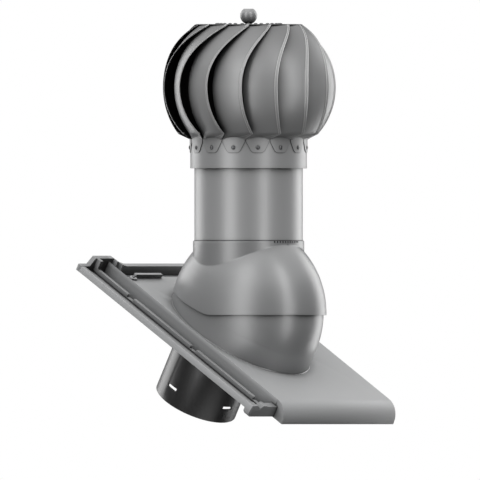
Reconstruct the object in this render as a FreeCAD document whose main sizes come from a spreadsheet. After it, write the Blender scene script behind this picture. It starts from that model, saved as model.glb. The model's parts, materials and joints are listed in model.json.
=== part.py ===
import FreeCAD, Part
import math
import os
import re

import Sketcher
from FreeCAD import Placement, Rotation, Vector

# A roof turbine ventilator on its own roof tile, in millimetres and degrees.
# The row frame has its origin in the mouth of the duct spigot, X across the
# roof, Y up the slope and Z straight up along the axis of the turbine.
# Three local frames are used below:
#   the tile frame, tilted by the roof pitch, on the panel under the dome,
#   the duct frame, tilted too, on the axis of the spigot,
#   the dome frame, upright, at the centre of the two ball shells.
SIZES = {
    # Driving sizes of the roof and of the two pipes
    "roof_pitch": 30,
    "duct_d": 125,
    "neck_d": 160,
    "duct_up_slope": 30,
    "duct_drop": 136,
    "dome_centre": 32,
    "sheet": 1,
    "fit": 0.1,
    "apart": 0.4,
    "over": 1,
    # Dome shells
    "cap_reach": 50,
    "cap_side": 17.5,
    "cap_r": "=neck_d / 2 + cap_reach",
    "cap_half": "=neck_d / 2 + cap_side",
    "cap_wall": 2.5,
    "shell_gap": 2,
    "shell_gap_side": 1.5,
    "base_r": "=cap_r - cap_wall - shell_gap",
    "base_half": "=cap_half - cap_wall - shell_gap_side",
    "base_wall": 2.8,
    "foot": 5,
    "open_rim": 16.8,
    "open_rim_side": 19.5,
    "open_long": "=base_r - open_rim",
    "open_wide": "=base_half - open_rim_side",
    "open_lean": 10,
    "rim_drop": 3,
    "rim_break": 8,
    "rim_lean": 20,
    "rim_bend": 60,
    "collar_wall": 2,
    "collar_sink": 23.5,
    "collar_deep": 48.5,
    "collar_grip": 16.5,
    "collar_top": "=cap_r - collar_sink",
    "collar_foot": "=collar_top - collar_deep",
    "neck_seat": "=collar_top - collar_grip",
    "neck_ledge": 2,
    "neck_ledge_w": 0.5,
    "notch_w": 1.6,
    "notch_h": 2.4,
    "notch_deep": 5,
    "notch_pitch": 3.4,
    "notch_count": 11,
    "mark_w": 1.6,
    "mark_high": 9,
    "mark_down": 5,
    # Roof tile
    "tile_wall": 3,
    "panel_left": "=base_half + 1.5",
    "panel_right": "=base_half + 44.5",
    "panel_front": "=base_r + 73",
    "panel_rear": "=base_r + 37.5",
    "nose_r": 25,
    "nose_skirt": 3,
    "lock_w": 52.2,
    "edge_deep": 8.4,
    "edge_draft": 2.8,
    "edge_wall": 2,
    "rib_near": 21.5,
    "rib_far": 27,
    "channel_far": 45.4,
    "channel_two": 23.5,
    "channel_one": 15.6,
    "rib_top": 8.6,
    "rib_gap_w": 15,
    "rib_gap_drop": 4.5,
    "rib_gap_rear": 50.6,
    "rib_gap_front": 8.3,
    "apron": 12,
    "apron_out": 5.2,
    "apron_top": 9.7,
    "apron_corner": 4,
    "spout_in": 35,
    "spout_half": 6,
    "spout_low": 14,
    "ramp_long": 20,
    "side_draft": 3,
    "head_slope": 3,
    "wall_from": "=panel_rear + 45.6",
    "wall_t": 8,
    "wall_drop": 8.3,
    "wall_step": 2.8,
    "hump_rise": 5,
    "hump_start": 42,
    "hump_foot": 31,
    "hump_edge": 8,
    "hump_out": 29,
    "hump_end": 35.5,
    "skirt_far": 14,
    "skirt_mid": 13,
    "skirt_step": 34,
    "bar_w": 54.5,
    "bar_d": 5,
    "bar_rise": 6.5,
    "bar_in": 11,
    "lug_w": 30,
    "lug_d": 10,
    "lug_drop": 44,
    "lug_in": 30,
    "lug_back": 13,
    "lug_rib_up": 8,
    "nail_d": 5,
    "nail_in": 6,
    "nail_boss_r": 5.5,
    "nail_boss": 2.5,
    "fin_long": 9,
    "fin_one": 8,
    "fin_two": 21.5,
    # Pitch lock
    "tilt_high": 12,
    "lock_rise": 15,
    "lock_screw_r": 2,
    "lock_head_r": 3.6,
    "lock_head": 2.5,
    "lock_washer_r": 5.5,
    "lock_washer": 1,
    "lock_boss_r": 4,
    "lock_pad_r": 24,
    "lock_pad": 2.3,
    # Duct spigot
    "duct_wall": 3,
    "duct_stub": 20,
    "duct_hole_gap": 0.8,
    "duct_flange": 17.5,
    "gasket_t": 2,
    "duct_slot_w": 19,
    "duct_slot_h": 5,
    "duct_slot_up": 24.6,
    "duct_screws": 4,
    "duct_screw_in": 8.5,
    "duct_screw_r": 2,
    "duct_head_r": 3.8,
    "duct_head": 2.6,
    "duct_boss_r": 4.5,
    "duct_boss": 8,
    "duct_boss_skin": 2,
    # Neck, bearing and shaft
    "neck_wall": 2,
    "neck_top": 236,
    "spider_z": "=neck_top - 14",
    "spider_t": 2.5,
    "spider_arm": 16,
    "spider_hub_r": 24,
    "spider_tab": 10,
    "rivet_r": 2,
    "rivet_head_r": 3.4,
    "rivet_head": 1.6,
    "bearing_d": 26,
    "bearing_w": 8,
    "bearing_shell": 3,
    "bearing_gap": 0.08,
    "bearing_edge": 0.4,
    "shield_in": 1,
    "shield_rim": 1.5,
    "housing_wall": 2,
    "housing_flange_r": 22,
    "housing_flange": 3,
    "housing_low": "=neck_top - 86",
    "housing_lip": 2,
    "housing_screw_in": 4.2,
    "housing_screw_r": 1.5,
    "housing_head_r": 2.8,
    "housing_head": 1.8,
    "shaft_d": 10,
    "shaft_step": 2,
    "shaft_collar": 6,
    "shaft_edge": 0.5,
    "shaft_tail": 4,
    "clip_t": 1,
    "clip_groove": 0.6,
    "clip_rise": 2.2,
    "clip_gap": 3,
    # Turbine
    "vane_count": 15,
    "vane_phase": 18,
    "ring_gap": 5,
    "ring_r": "=neck_d / 2 + ring_gap + sheet",
    "ring_low": "=neck_top - 22.3",
    "ring_seat": 0.1,
    "tab_top": "=neck_top + 20",
    "tab_foot": "=tab_top - 19",
    "tab_rivet": "=tab_top - 11.6",
    "tab_side": 0.4,
    "tab_taper": 5.8,
    "tab_edge": 1.8,
    "tab_corner_r": 3,
    "globe_out": 42.3,
    "globe_flat": 11.3,
    "globe_r": "=ring_r + globe_out",
    "globe_half": "=globe_r - globe_flat",
    "globe_mid": "=neck_top + 97.6",
    "plate_top": "=neck_top + 190.6",
    "plate_in": 8.6,
    "plate_r": "=ring_r - plate_in",
    "plate_rivet_in": 30.4,
    "plate_rivets_r": "=plate_r - plate_rivet_in",
    "ear_turn": 0.6,
    "ear_short": 1.2,
    "ear_in": 2.2,
    "blade_foot": "=tab_top + 8.3",
    "blade_depth": 14.3,
    "blade_bulge": 0.4,
    "blade_outer": 10.5,
    "blade_inner": 11.6,
    "blade_lip": 2,
    "blade_lip_bend": 0.9,
    "hub_r": 14,
    "hub_flange": 2,
    "hub_neck": 3,
    "hub_long": 26.6,
    "hub_out": 6,
    "finial_r": 12.5,
    "finial_flat": 0.3,
}

# How far the two edges of a blade swing back above and below its middle,
# in degrees, as the square and the fourth power of the height
OUTER_SWING_UP = (27.0, 33.0)
OUTER_SWING_DOWN = (16.0, 20.0)
INNER_SWING_UP = (22.0, 0.0)
INNER_SWING_DOWN = (12.0, 0.0)
# Powers by which a blade's depth and bulge fade towards its two ends
DEPTH_FADE = 1.5
BULGE_FADE = 2
BLADE_SECTIONS = 7

doc = FreeCAD.newDocument("RoofTurbine")
sheet = doc.addObject("Spreadsheet::Sheet", "Sizes")
for row, (name, size) in enumerate(SIZES.items(), 1):
    sheet.set("A%d" % row, name)
    sheet.set("B%d" % row, str(size))
    sheet.setAlias("B%d" % row, name)
doc.recompute()

DOME = ("0", "-duct_up_slope * cos(roof_pitch) - (duct_drop + dome_centre) * sin(roof_pitch)",
        "(duct_drop + dome_centre) * cos(roof_pitch) - duct_up_slope * sin(roof_pitch)")
TILE = ("0", "-duct_up_slope * cos(roof_pitch) - duct_drop * sin(roof_pitch)",
        "duct_drop * cos(roof_pitch) - duct_up_slope * sin(roof_pitch)")
DUCT = ("0", "-duct_drop * sin(roof_pitch)", "duct_drop * cos(roof_pitch)")
nodes = []


def bound(text):
    """Write a formula of size names as an expression on the sheet."""
    return re.sub(r"[a-z]\w*", lambda word: "Sizes." + word[0] if word[0] in SIZES else word[0], str(text))


def number(text):
    """Work out a formula of size names."""
    result = sheet.evalExpression(bound(text))
    return float(getattr(result, "Value", result))


def bind(item, name, text):
    item.setExpression(name, bound(text))


def place(item, spot=("0", "0", "0"), axis=(0, 0, 1), turn="0"):
    """Put an object at a spot, turned about an axis, both by formulas."""
    corner = Vector(*[number(text) for text in spot])
    item.Placement = Placement(corner, Rotation(Vector(*axis), number(turn)))
    for letter, text in zip("xyz", spot):
        if text != "0":
            bind(item, "Placement.Base." + letter, text)
    if turn != "0":
        bind(item, "Placement.Rotation.Angle", turn)
    return item


def node(item, name, frame=DOME, turn="0"):
    """Finish a sub-part: its name and its place in the row frame."""
    item.Label = name
    if frame is DOME:
        place(item, DOME, (0, 0, 1), turn)
    else:
        place(item, frame, (1, 0, 0), "roof_pitch")
    nodes.append(item)
    return item


def origin_part(body, role):
    return [part for part in body.Origin.OriginFeatures if part.Role == role][0]


def sketch_on(body, plane, points, shift=("0", "0", "0")):
    """Draw a closed outline whose corners are bound to formulas."""
    sketch = body.newObject("Sketcher::SketchObject", body.Name + "_outline")
    sketch.AttachmentSupport = [(origin_part(body, plane), "")]
    sketch.MapMode = "FlatFace"
    sketch.AttachmentOffset = Placement(Vector(*[number(text) for text in shift]), Rotation())
    for letter, text in zip("xyz", shift):
        if text != "0":
            bind(sketch, "AttachmentOffset.Base." + letter, text)
    spots = [Vector(number(across), number(up), 0) for across, up in points]
    for index, spot in enumerate(spots):
        sketch.addGeometry(Part.LineSegment(spot, spots[(index + 1) % len(spots)]), False)
    for index in range(len(spots)):
        following = (index + 1) % len(spots)
        sketch.addConstraint(Sketcher.Constraint("Coincident", index, 2, following, 1))
    for index, (across, up) in enumerate(points):
        for kind, text in (("DistanceX", across), ("DistanceY", up)):
            rule = sketch.addConstraint(Sketcher.Constraint(kind, -1, 1, index, 1, number(text)))
            if re.search("[a-z]", str(text)):
                bind(sketch, "Constraints[%d]" % rule, text)
    return sketch


def body_named(name):
    body = doc.addObject("PartDesign::Body", name)
    body.AllowCompound = True
    return body


def turned(name, points, axis="V_Axis", plane="XZ_Plane", shift=("0", "0", "0")):
    """A body of revolution from an outline of radii and heights."""
    body = body_named(name)
    sketch = sketch_on(body, plane, points, shift)
    solid = body.newObject("PartDesign::Revolution", name + "_turned")
    solid.Profile = sketch
    solid.ReferenceAxis = (sketch, [axis])
    solid.Angle = 360
    return body


def padded(name, plane, points, length, start="0", edges=None, round_r=None):
    """A body padded from an outline, from start and on by length."""
    body = body_named(name)
    sketch = sketch_on(body, plane, points, ("0", "0", start))
    solid = body.newObject("PartDesign::Pad", name + "_pad")
    solid.Profile = sketch
    bind(solid, "Length", length)
    solid.Length = number(length)
    if edges:
        doc.recompute()
        names = ["Edge%d" % (i + 1) for i, edge in enumerate(solid.Shape.Edges) if edges(edge)]
        soft = body.newObject("PartDesign::Fillet", name + "_rounded")
        soft.Base = (solid, names)
        soft.Radius = number(round_r)
        bind(soft, "Radius", round_r)
    return body


def ring_of(body, count):
    """Repeat the last feature of a body about the upright axis."""
    feature = body.Tip
    pattern = body.newObject("PartDesign::PolarPattern", body.Name + "_ring")
    pattern.Originals = [feature]
    pattern.Axis = (origin_part(body, "Z_Axis"), [""])
    pattern.Angle = 360
    pattern.Occurrences = round(number(count))
    bind(pattern, "Occurrences", count)
    body.Tip = pattern
    return body


def block(name, low, high):
    """A box between two corners."""
    item = doc.addObject("Part::Box", name)
    for side, start, end in zip(("Length", "Width", "Height"), low, high):
        bind(item, side, "(%s) - (%s)" % (end, start))
    return place(item, low)


def rod(name, radius, length, spot=("0", "0", "0"), axis=(0, 0, 1), turn="0"):
    """A cylinder from a spot along Z, or along Z turned about an axis."""
    item = doc.addObject("Part::Cylinder", name)
    bind(item, "Radius", radius)
    bind(item, "Height", length)
    return place(item, spot, axis, turn)


def egg(name, round_r, half, spot=("0", "0", "0")):
    """A ball that is squeezed along X."""
    item = doc.addObject("Part::Ellipsoid", name)
    bind(item, "Radius1", round_r)
    bind(item, "Radius2", half)
    bind(item, "Radius3", round_r)
    return place(item, spot)


def oval(name, long, wide, height):
    """A flat ellipse, long along Y."""
    item = doc.addObject("Part::Ellipse", name)
    item.MajorRadius = number(long)
    item.MinorRadius = number(wide)
    bind(item, "MajorRadius", long)
    bind(item, "MinorRadius", wide)
    return place(item, ("0", "0", height), (0, 0, 1), "90")


def oval_prism(name, long, wide, start, length, lean="0"):
    """An upright or leaning prism over an ellipse."""
    item = doc.addObject("Part::Extrusion", name)
    item.Base = oval(name + "_oval", long, wide, start)
    item.DirMode = "Custom"
    item.Dir = Vector(0, 0, 1)
    bind(item, "LengthFwd", length)
    item.Solid = True
    return place(item, ("0", "0", "0"), (1, 0, 0), lean)


def fused(name, *pieces):
    item = doc.addObject("Part::MultiFuse", name)
    item.Shapes = list(pieces)
    item.Refine = True
    return item


def cut(name, base, *tools):
    item = doc.addObject("Part::Cut", name)
    item.Base = base
    item.Tool = tools[0] if len(tools) == 1 else fused(name + "_tools", *tools)
    return item


def shared(name, first, second):
    item = doc.addObject("Part::Common", name)
    item.Base = first
    item.Tool = second
    return item


def across_x(name, radius, start, length, rise="0"):
    """A cylinder along X, at a height above the centre."""
    return rod(name, radius, length, (start, "0", rise), (0, 1, 0), "90")


# Roof tile, in the tile frame
def lock_outline():
    """Panel, left water channels and right cover, as one moulded wall."""
    wall = "tile_wall"
    left = "-panel_left"
    outer = "-panel_left - lock_w"
    lip = "-panel_left - lock_w - edge_draft"
    far = "-panel_left - channel_far"
    near = "-panel_left - rib_near"
    mid = "-panel_left - rib_far"
    foot = "-panel_left - side_draft"
    return [
        (left, "0"), ("panel_right", "0"), ("panel_right", "-skirt_far"),
        ("panel_right - tile_wall", "-skirt_far"), ("panel_right - tile_wall", "-tile_wall"),
        ("panel_right - skirt_step + tile_wall", "-tile_wall"),
        ("panel_right - skirt_step + tile_wall", "-skirt_mid"),
        ("panel_right - skirt_step", "-skirt_mid"), ("panel_right - skirt_step", "-tile_wall"),
        (left + " + " + wall, "-tile_wall"), (foot + " + " + wall, "-channel_two - tile_wall"),
        (near + " - " + wall, "-channel_two - tile_wall"), (near + " - " + wall, "-channel_one - tile_wall"),
        (far + " - " + wall, "-channel_one - tile_wall"), (far + " - " + wall, "-rib_top - tile_wall"),
        (outer + " + edge_wall", "-rib_top - tile_wall"), (lip + " + edge_wall", "-rib_top - edge_deep"),
        (lip, "-rib_top - edge_deep"), (outer, "-rib_top"), (far, "-rib_top"), (far, "-channel_one"),
        (mid, "-channel_one"), (mid, "-rib_top"), (near, "-rib_top"), (near, "-channel_two"),
        (foot, "-channel_two"),
    ]


def tile_nose():
    """The rounded front of the panel, with its left end closed."""
    hollow = "nose_r - tile_wall"
    solid = padded("nose_block", "YZ_Plane", [
        ("-panel_front - nose_r", "-nose_r - nose_skirt"), ("-panel_front", "-nose_r - nose_skirt"),
        ("-panel_front", "0"), ("-panel_front - nose_r", "0"),
    ], "panel_left + panel_right", "-panel_left", edges=nose_corner, round_r="nose_r - 0.01")
    inside = rod("nose_inside", hollow, "panel_left + panel_right - 2 * tile_wall",
                 ("-panel_left + tile_wall", "-panel_front", "-nose_r"), (0, 1, 0), "90")
    below = block("nose_below", ("-panel_left + tile_wall", "-panel_front - nose_r + tile_wall", "-2 * nose_r"),
                  ("panel_right - tile_wall", "-panel_front + nose_r", "-nose_r"))
    return cut("nose", solid, inside, below)


def nose_corner(edge):
    box = edge.BoundBox
    front = box.YMax < number("-panel_front - nose_r / 2")
    return front and box.ZMin > -number("over") and box.XLength > number("panel_left")


def tile_rear_wall():
    """The upright wall at the head of the tile, with its raised part."""
    left = "-panel_left"
    near = "-panel_left - rib_near - tile_wall"
    top = "-wall_drop"
    return padded("rear_wall", "XZ_Plane", [
        (left + " - lock_w", "-channel_one - tile_wall"), (near, "-channel_one - tile_wall"),
        (near, "-channel_two - tile_wall"), ("panel_right", "-channel_two - tile_wall"), ("panel_right", top),
        (left + " + hump_start", top), (left + " + hump_foot", "-wall_drop + wall_step"),
        (left + " + hump_edge", "hump_rise"), (left + " - hump_out", "hump_rise"), (left + " - hump_end", top),
        (left + " - lock_w", top),
    ], "wall_t", "-wall_from - wall_t")


def tile_lugs():
    """Hooks under the head of the tile that hang it on its batten."""
    front = "panel_rear - lug_back"
    top = "-tile_wall + over"
    lugs = []
    for index, start in enumerate(("-panel_left + lug_in", "panel_right - lug_in - lug_w")):
        side = start + " + lug_w / 2 - tile_wall / 2"
        lugs.append(block("batten_lug_%d" % index, (start, front, "-lug_drop"),
                          (start + " + lug_w", front + " + lug_d", top)))
        lugs.append(block("batten_rib_%d" % index, (side, front + " + lug_d - over", "-lug_drop + lug_rib_up"),
                          (side + " + tile_wall", "panel_rear", top)))
    return lugs


def tile_bars():
    """Low bars on the head of the panel and the bosses of the nail holes."""
    first = "-panel_left + bar_in"
    second = "panel_right - bar_in - bar_w"
    bars = []
    for index, start in enumerate((first, second)):
        bars.append(block("head_bar_%d" % index, (start, "panel_rear - bar_d", "-over"),
                          (start + " + bar_w", "panel_rear", "bar_rise")))
    for index, spot in enumerate(nail_spots()):
        bars.append(rod("nail_boss_%d" % index, "nail_boss_r", "tile_wall + nail_boss",
                        (spot, "panel_rear - nail_in", "-tile_wall")))
    return bars


def nail_spots():
    return ("-panel_left + nail_in", "panel_right - nail_in")


def hump_at(along):
    """Height of the raised part's right slope, this far in from the panel's edge."""
    fall = "(hump_rise + wall_drop - wall_step)"
    return "hump_rise - %s * (%s - hump_edge) / (hump_foot - hump_edge)" % (fall, along)


def head_fins():
    """Upright fins before the rear wall, under its raised part."""
    foot = "-channel_two - over"
    fins = [block("rib_end_fin", ("-panel_left - rib_far", "wall_from - fin_long", "-rib_top - over"),
                  ("-panel_left - rib_near", "wall_from + over", "hump_rise"))]
    for name in ("fin_one", "fin_two"):
        side = "-panel_left + " + name
        fins.append(padded("head_" + name, "XZ_Plane", [
            (side, foot), (side + " + tile_wall", foot),
            (side + " + tile_wall", hump_at(name + " + tile_wall")), (side, hump_at(name)),
        ], "fin_long + over", "-wall_from - over"))
    return fins


def front_apron():
    """The front end of the channels: an upright face that the water runs over."""
    lip = "-panel_left - lock_w - edge_draft"
    near = "-panel_left - rib_near"
    foot = "-channel_two - tile_wall"
    spout = "-panel_left - spout_in"
    face = padded("apron_face", "XZ_Plane", [
        (lip + " + apron_corner", foot), ("-panel_left + tile_wall", foot),
        ("-panel_left + tile_wall", "-apron_top"), (near, "-apron_top"), (near, "-rib_top"),
        (spout + " + spout_half", "-rib_top"), (spout, "-spout_low"), (spout + " - spout_half", "-rib_top"),
        ("-panel_left - lock_w", "-rib_top"), (lip, "-rib_top - edge_deep"), (lip, foot + " + apron_corner"),
    ], "apron", "panel_front + apron_out - apron")
    start = "-panel_front - apron_out + apron"
    ramp = padded("apron_ramp", "YZ_Plane", [
        (start + " - over", foot), (start + " + ramp_long", foot), (start + " + ramp_long", "-channel_two"),
        (start, "-apron_top"), (start + " - over", "-apron_top"),
    ], "rib_near - over / 2", near)
    return [face, ramp]


def roof_tile():
    wall = padded("tile_wall_run", "XZ_Plane", lock_outline(), "panel_front + wall_from", "-wall_from")
    behind = block("head_lap_cut", ("-panel_left", "panel_rear", "-channel_two"),
                   ("panel_right + over", "wall_from + over", "over"))
    upper = cut("tile_run_cut", wall, behind)
    floor = block("head_lap_floor", ("-panel_left - side_draft", "panel_rear - tile_wall", "-channel_two - tile_wall"),
                  ("panel_right", "wall_from", "-channel_two"))
    step = padded("head_lap_step", "YZ_Plane", [
        ("panel_rear - tile_wall", "-channel_two - tile_wall"), ("panel_rear + head_slope", "-channel_two - tile_wall"),
        ("panel_rear + head_slope", "-channel_two"), ("panel_rear", "0"), ("panel_rear - tile_wall", "0"),
    ], "panel_left + panel_right", "-panel_left")
    bosses = ring_of(turned("duct_bosses", [
        ("-duct_boss_r", "-over"), ("0", "-over"), ("0", "duct_boss"), ("-duct_boss_r", "duct_boss"),
    ], shift=("duct_d / 2 + duct_screw_in", "0", "0")), "duct_screws")
    place(bosses, ("0", "duct_up_slope", "0"), (0, 0, 1), "45")
    solid = fused("tile_solid", upper, floor, step, tile_nose(), tile_rear_wall(), bosses,
                  *tile_lugs(), *tile_bars(), *head_fins(), *front_apron())
    tools = [rod("duct_hole", "duct_d / 2 + duct_hole_gap", "4 * tile_wall", ("0", "duct_up_slope", "-2 * tile_wall"))]
    holes = ring_of(turned("duct_screw_holes", [
        ("-duct_screw_r", "-tile_wall - over"), ("0", "-tile_wall - over"), ("0", "duct_boss - duct_boss_skin"),
        ("-duct_screw_r", "duct_boss - duct_boss_skin"),
    ], shift=("duct_d / 2 + duct_screw_in", "0", "0")), "duct_screws")
    place(holes, ("0", "duct_up_slope", "0"), (0, 0, 1), "45")
    tools.append(holes)
    for index, spot in enumerate(nail_spots()):
        tools.append(rod("nail_hole_%d" % index, "nail_d / 2", "6 * tile_wall",
                         (spot, "panel_rear - nail_in", "-3 * tile_wall")))
    first = "-panel_front + rib_gap_front"
    last = "panel_rear - rib_gap_rear"
    for index, spot in enumerate((first, "(%s + %s) / 2" % (first, last), last)):
        tools.append(block("rib_gap_%d" % index, ("-panel_left - rib_far - over", spot, "-rib_top - rib_gap_drop"),
                           ("-panel_left - rib_near + over", spot + " + rib_gap_w", "-rib_top + over")))
    node(cut("roof_tile_cut", solid, *tools), "roof_tile", TILE)


# Lower ball shell, in the tile frame
def base_shell(name, long, wide, low):
    """The filled form of the lower dome: a prism with half a ball on it."""
    ball = egg(name + "_ball", long, wide, ("0", "0", "dome_centre"))
    above = block(name + "_above", ("-2 * cap_r", "-2 * cap_r", "dome_centre"),
                  ("2 * cap_r", "2 * cap_r", "dome_centre + 2 * cap_r"))
    prism = oval_prism(name + "_prism", long, wide, low, "dome_centre - (%s)" % low)
    return fused(name, shared(name + "_half", ball, above), prism)


def foot_ring():
    """The small hollow sweep between the dome and the panel."""
    sweep = doc.addObject("Part::Loft", "foot_sweep")
    steps = (("0", "foot"), ("0.2 * foot", "0.5 * foot"), ("0.5 * foot", "0.2 * foot"), ("foot", "0"))
    sweep.Sections = [oval("foot_oval_%d" % index, "base_r + " + out, "base_half + " + out, height)
                      for index, (height, out) in enumerate(steps)]
    sweep.Solid = True
    sweep.Ruled = True
    beyond = block("foot_beyond", ("-2 * cap_r", "-2 * cap_r", "-over"), ("-panel_left", "2 * cap_r", "2 * foot"))
    return cut("foot_trimmed", sweep, beyond)


def lock_slot(name, side):
    """The arc slot of the pitch lock, about the tilt axis."""
    ring = []
    for part, radius in (("out", "lock_rise + lock_screw_r + apart"), ("in", "lock_rise - lock_screw_r - apart")):
        item = rod(name + "_" + part, radius, "2 * lock_rise")
        item.Angle = number(lock_arc())
        item.Placement = Placement(Vector(number(side), 0, number("dome_centre")),
                                   Rotation(Vector(1, 0, 0), number(lock_start())).multiply(
                                       Rotation(Vector(1, 1, 1), 120)))
        ring.append(item)
    return cut(name, *ring)


def lock_arc():
    return "tilt_high + 2 * atan((lock_screw_r + 2 * apart) / lock_rise) / 1 deg"


def lock_start():
    return "90 - roof_pitch - atan((lock_screw_r + 2 * apart) / lock_rise) / 1 deg"


def dome_base():
    outer = fused("base_outer", base_shell("base_form", "base_r", "base_half", "0"), foot_ring())
    inner = base_shell("base_hollow", "base_r - base_wall", "base_half - base_wall", "-over")
    hollow = cut("base_shell", outer, inner)
    pads = []
    bite = "base_wall / 4"
    for name, start in (("pad_left", "-base_half + base_wall - %s" % bite),
                        ("pad_right", "base_half - base_wall - lock_pad")):
        disc = rod(name, "lock_pad_r", "lock_pad + " + bite, (start, "0", "dome_centre"), (0, 1, 0), "90")
        pads.append(disc)
    solid = fused("base_padded", hollow, *pads)
    opening = oval_prism("base_opening", "open_long", "open_wide", "0", "2 * base_r", "open_lean - roof_pitch")
    tools = [place(opening, ("0", "0", "dome_centre"), (1, 0, 0), "open_lean - roof_pitch")]
    tools.append(lock_slot("slot_left", "-base_half - lock_rise"))
    tools.append(lock_slot("slot_right", "base_half - lock_rise"))
    node(cut("dome_base_cut", solid, *tools), "dome_base", TILE)


# Duct spigot under the panel, in the duct frame
def duct_spigot():
    inner = "duct_d / 2 - duct_wall"
    under = "-tile_wall - gasket_t"
    pipe = turned("spigot_pipe", [
        (inner, "-duct_drop"), ("duct_d / 2", "-duct_drop"),
        ("duct_d / 2", under + " - duct_wall"), ("duct_d / 2 + duct_flange", under + " - duct_wall"),
        ("duct_d / 2 + duct_flange", under), ("duct_d / 2", under), ("duct_d / 2", "duct_stub"), (inner, "duct_stub"),
    ])
    height = "-duct_drop + duct_slot_up"
    tools = [
        block("slots_across", ("-duct_d", "-duct_slot_w / 2", height + " - duct_slot_h / 2"),
              ("duct_d", "duct_slot_w / 2", height + " + duct_slot_h / 2")),
        block("slots_along", ("-duct_slot_w / 2", "-duct_d", height + " - duct_slot_h / 2"),
              ("duct_slot_w / 2", "duct_d", height + " + duct_slot_h / 2")),
        screw_holes("spigot_holes"),
    ]
    node(cut("spigot_cut", pipe, *tools), "duct_spigot", DUCT)
    ring = turned("gasket_ring", [
        ("duct_d / 2 + duct_hole_gap", under), ("duct_d / 2 + duct_flange", under),
        ("duct_d / 2 + duct_flange", "-tile_wall"), ("duct_d / 2 + duct_hole_gap", "-tile_wall"),
    ])
    node(cut("gasket_cut", ring, screw_holes("gasket_holes")), "spigot_gasket", DUCT)


def screw_holes(name):
    holes = ring_of(turned(name, [
        ("-duct_screw_r", "-duct_stub"), ("0", "-duct_stub"), ("0", "0"), ("-duct_screw_r", "0"),
    ], shift=("duct_d / 2 + duct_screw_in", "0", "0")), "duct_screws")
    return place(holes, ("0", "0", "0"), (0, 0, 1), "45")


def spigot_screws():
    seat = "-tile_wall - gasket_t - duct_wall"
    screws = ring_of(turned("spigot_screw_ring", [
        ("0", seat + " - duct_head"), ("-0.6 * duct_head_r", seat + " - duct_head"),
        ("-duct_head_r", seat + " - 0.4 * duct_head"), ("-duct_head_r", seat), ("-duct_screw_r", seat),
        ("-duct_screw_r", "duct_boss - duct_boss_skin"), ("0", "duct_boss - duct_boss_skin"),
    ], shift=("duct_d / 2 + duct_screw_in", "0", "0")), "duct_screws")
    turned_ring = doc.addObject("Part::Compound", "spigot_screw_set")
    turned_ring.Links = [place(screws, ("0", "0", "0"), (0, 0, 1), "45")]
    node(turned_ring, "spigot_screws", DUCT)


# Upper ball shell, in the dome frame
def rim_tool():
    """What is below the rim of the cap: level in front, rising behind."""
    reach = "2 * cap_r"
    return padded("rim_tool", "YZ_Plane", [
        ("-2 * cap_r", "-rim_drop"), ("-rim_break", "-rim_drop"),
        (reach, "-rim_drop + (2 * cap_r + rim_break) * tan(rim_lean)"), (reach, "-2 * cap_r"),
        ("-2 * cap_r", "-2 * cap_r"),
    ], "4 * cap_r", "-2 * cap_r", edges=rim_corner, round_r="rim_bend")


def rim_corner(edge):
    box = edge.BoundBox
    return abs(box.YMin + number("rim_break")) < 0.1 and box.YLength < 0.1 and abs(box.ZMin + number("rim_drop")) < 0.1


def notch_tool():
    """A short row of plain notches at the seam, on the front."""
    notches = []
    for index in range(round(number("notch_count"))):
        turn = "-90 + (%d - (notch_count - 1) / 2) * notch_pitch" % index
        notch = doc.addObject("Part::Box", "notch_%d" % index)
        bind(notch, "Length", "notch_deep")
        bind(notch, "Width", "notch_w")
        bind(notch, "Height", "notch_h")
        angle = math.radians(number(turn))
        reach = number("neck_d / 2 + fit")
        middle = Vector(math.cos(angle), math.sin(angle), 0) * reach
        aside = Vector(-math.sin(angle), math.cos(angle), 0) * (-number("notch_w") / 2)
        lift = Vector(0, 0, number("collar_top - notch_h"))
        notch.Placement = Placement(middle + aside + lift, Rotation(Vector(0, 0, 1), number(turn)))
        notches.append(notch)
    return fused("notches", *notches)


def dome_cap():
    collar_r = "neck_d / 2 + fit + collar_wall"
    ball = egg("cap_ball", "cap_r", "cap_half")
    collar = rod("cap_collar", collar_r, "collar_top - collar_foot", ("0", "0", "collar_foot"))
    mark = block("cap_mark", ("-mark_w / 2", "-neck_d / 2 - collar_wall - over", "collar_top - mark_down - mark_high"),
                 ("mark_w / 2", "-neck_d / 2", "collar_top - mark_down"))
    outer = fused("cap_outer", ball, collar, mark)
    skirt = rod("cap_skirt", collar_r, "cap_reach", ("0", "0", "neck_seat - neck_ledge"))
    hollow = cut("cap_hollow", egg("cap_inside", "cap_r - cap_wall", "cap_half - cap_wall"), skirt)
    mouth = rod("cap_mouth", "neck_d / 2 - neck_wall - neck_ledge_w", "cap_r", ("0", "0", "collar_foot / 2"))
    seat = rod("cap_seat", "neck_d / 2 + fit", "cap_reach", ("0", "0", "neck_seat"))
    shell = cut("cap_shell", outer, hollow, mouth, seat, rim_tool(), notch_tool())
    bosses = []
    threads = []
    for name, side in (("left", "-1"), ("right", "1")):
        face = "base_half + fit"
        bosses.append(lock_run("cap_boss_" + name, "lock_boss_r", face, "cap_half - cap_wall / 2", side))
        threads.append(lock_run("cap_thread_" + name, "lock_screw_r", "base_half - over", lock_tip(), side))
    node(cut("dome_cap_cut", fused("cap_bossed", shell, *bosses), *threads), "dome_cap")


def lock_tip():
    """How far out the lock screws reach into the cap's wall."""
    return "cap_half - cap_wall / 2 - fit"


def lock_run(name, radius, low, high, side):
    """A cylinder along X between two distances from the middle, on one side."""
    start = low if side == "1" else "-(%s)" % high
    return across_x(name, radius, start, "(%s) - (%s)" % (high, low), "lock_rise")


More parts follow.
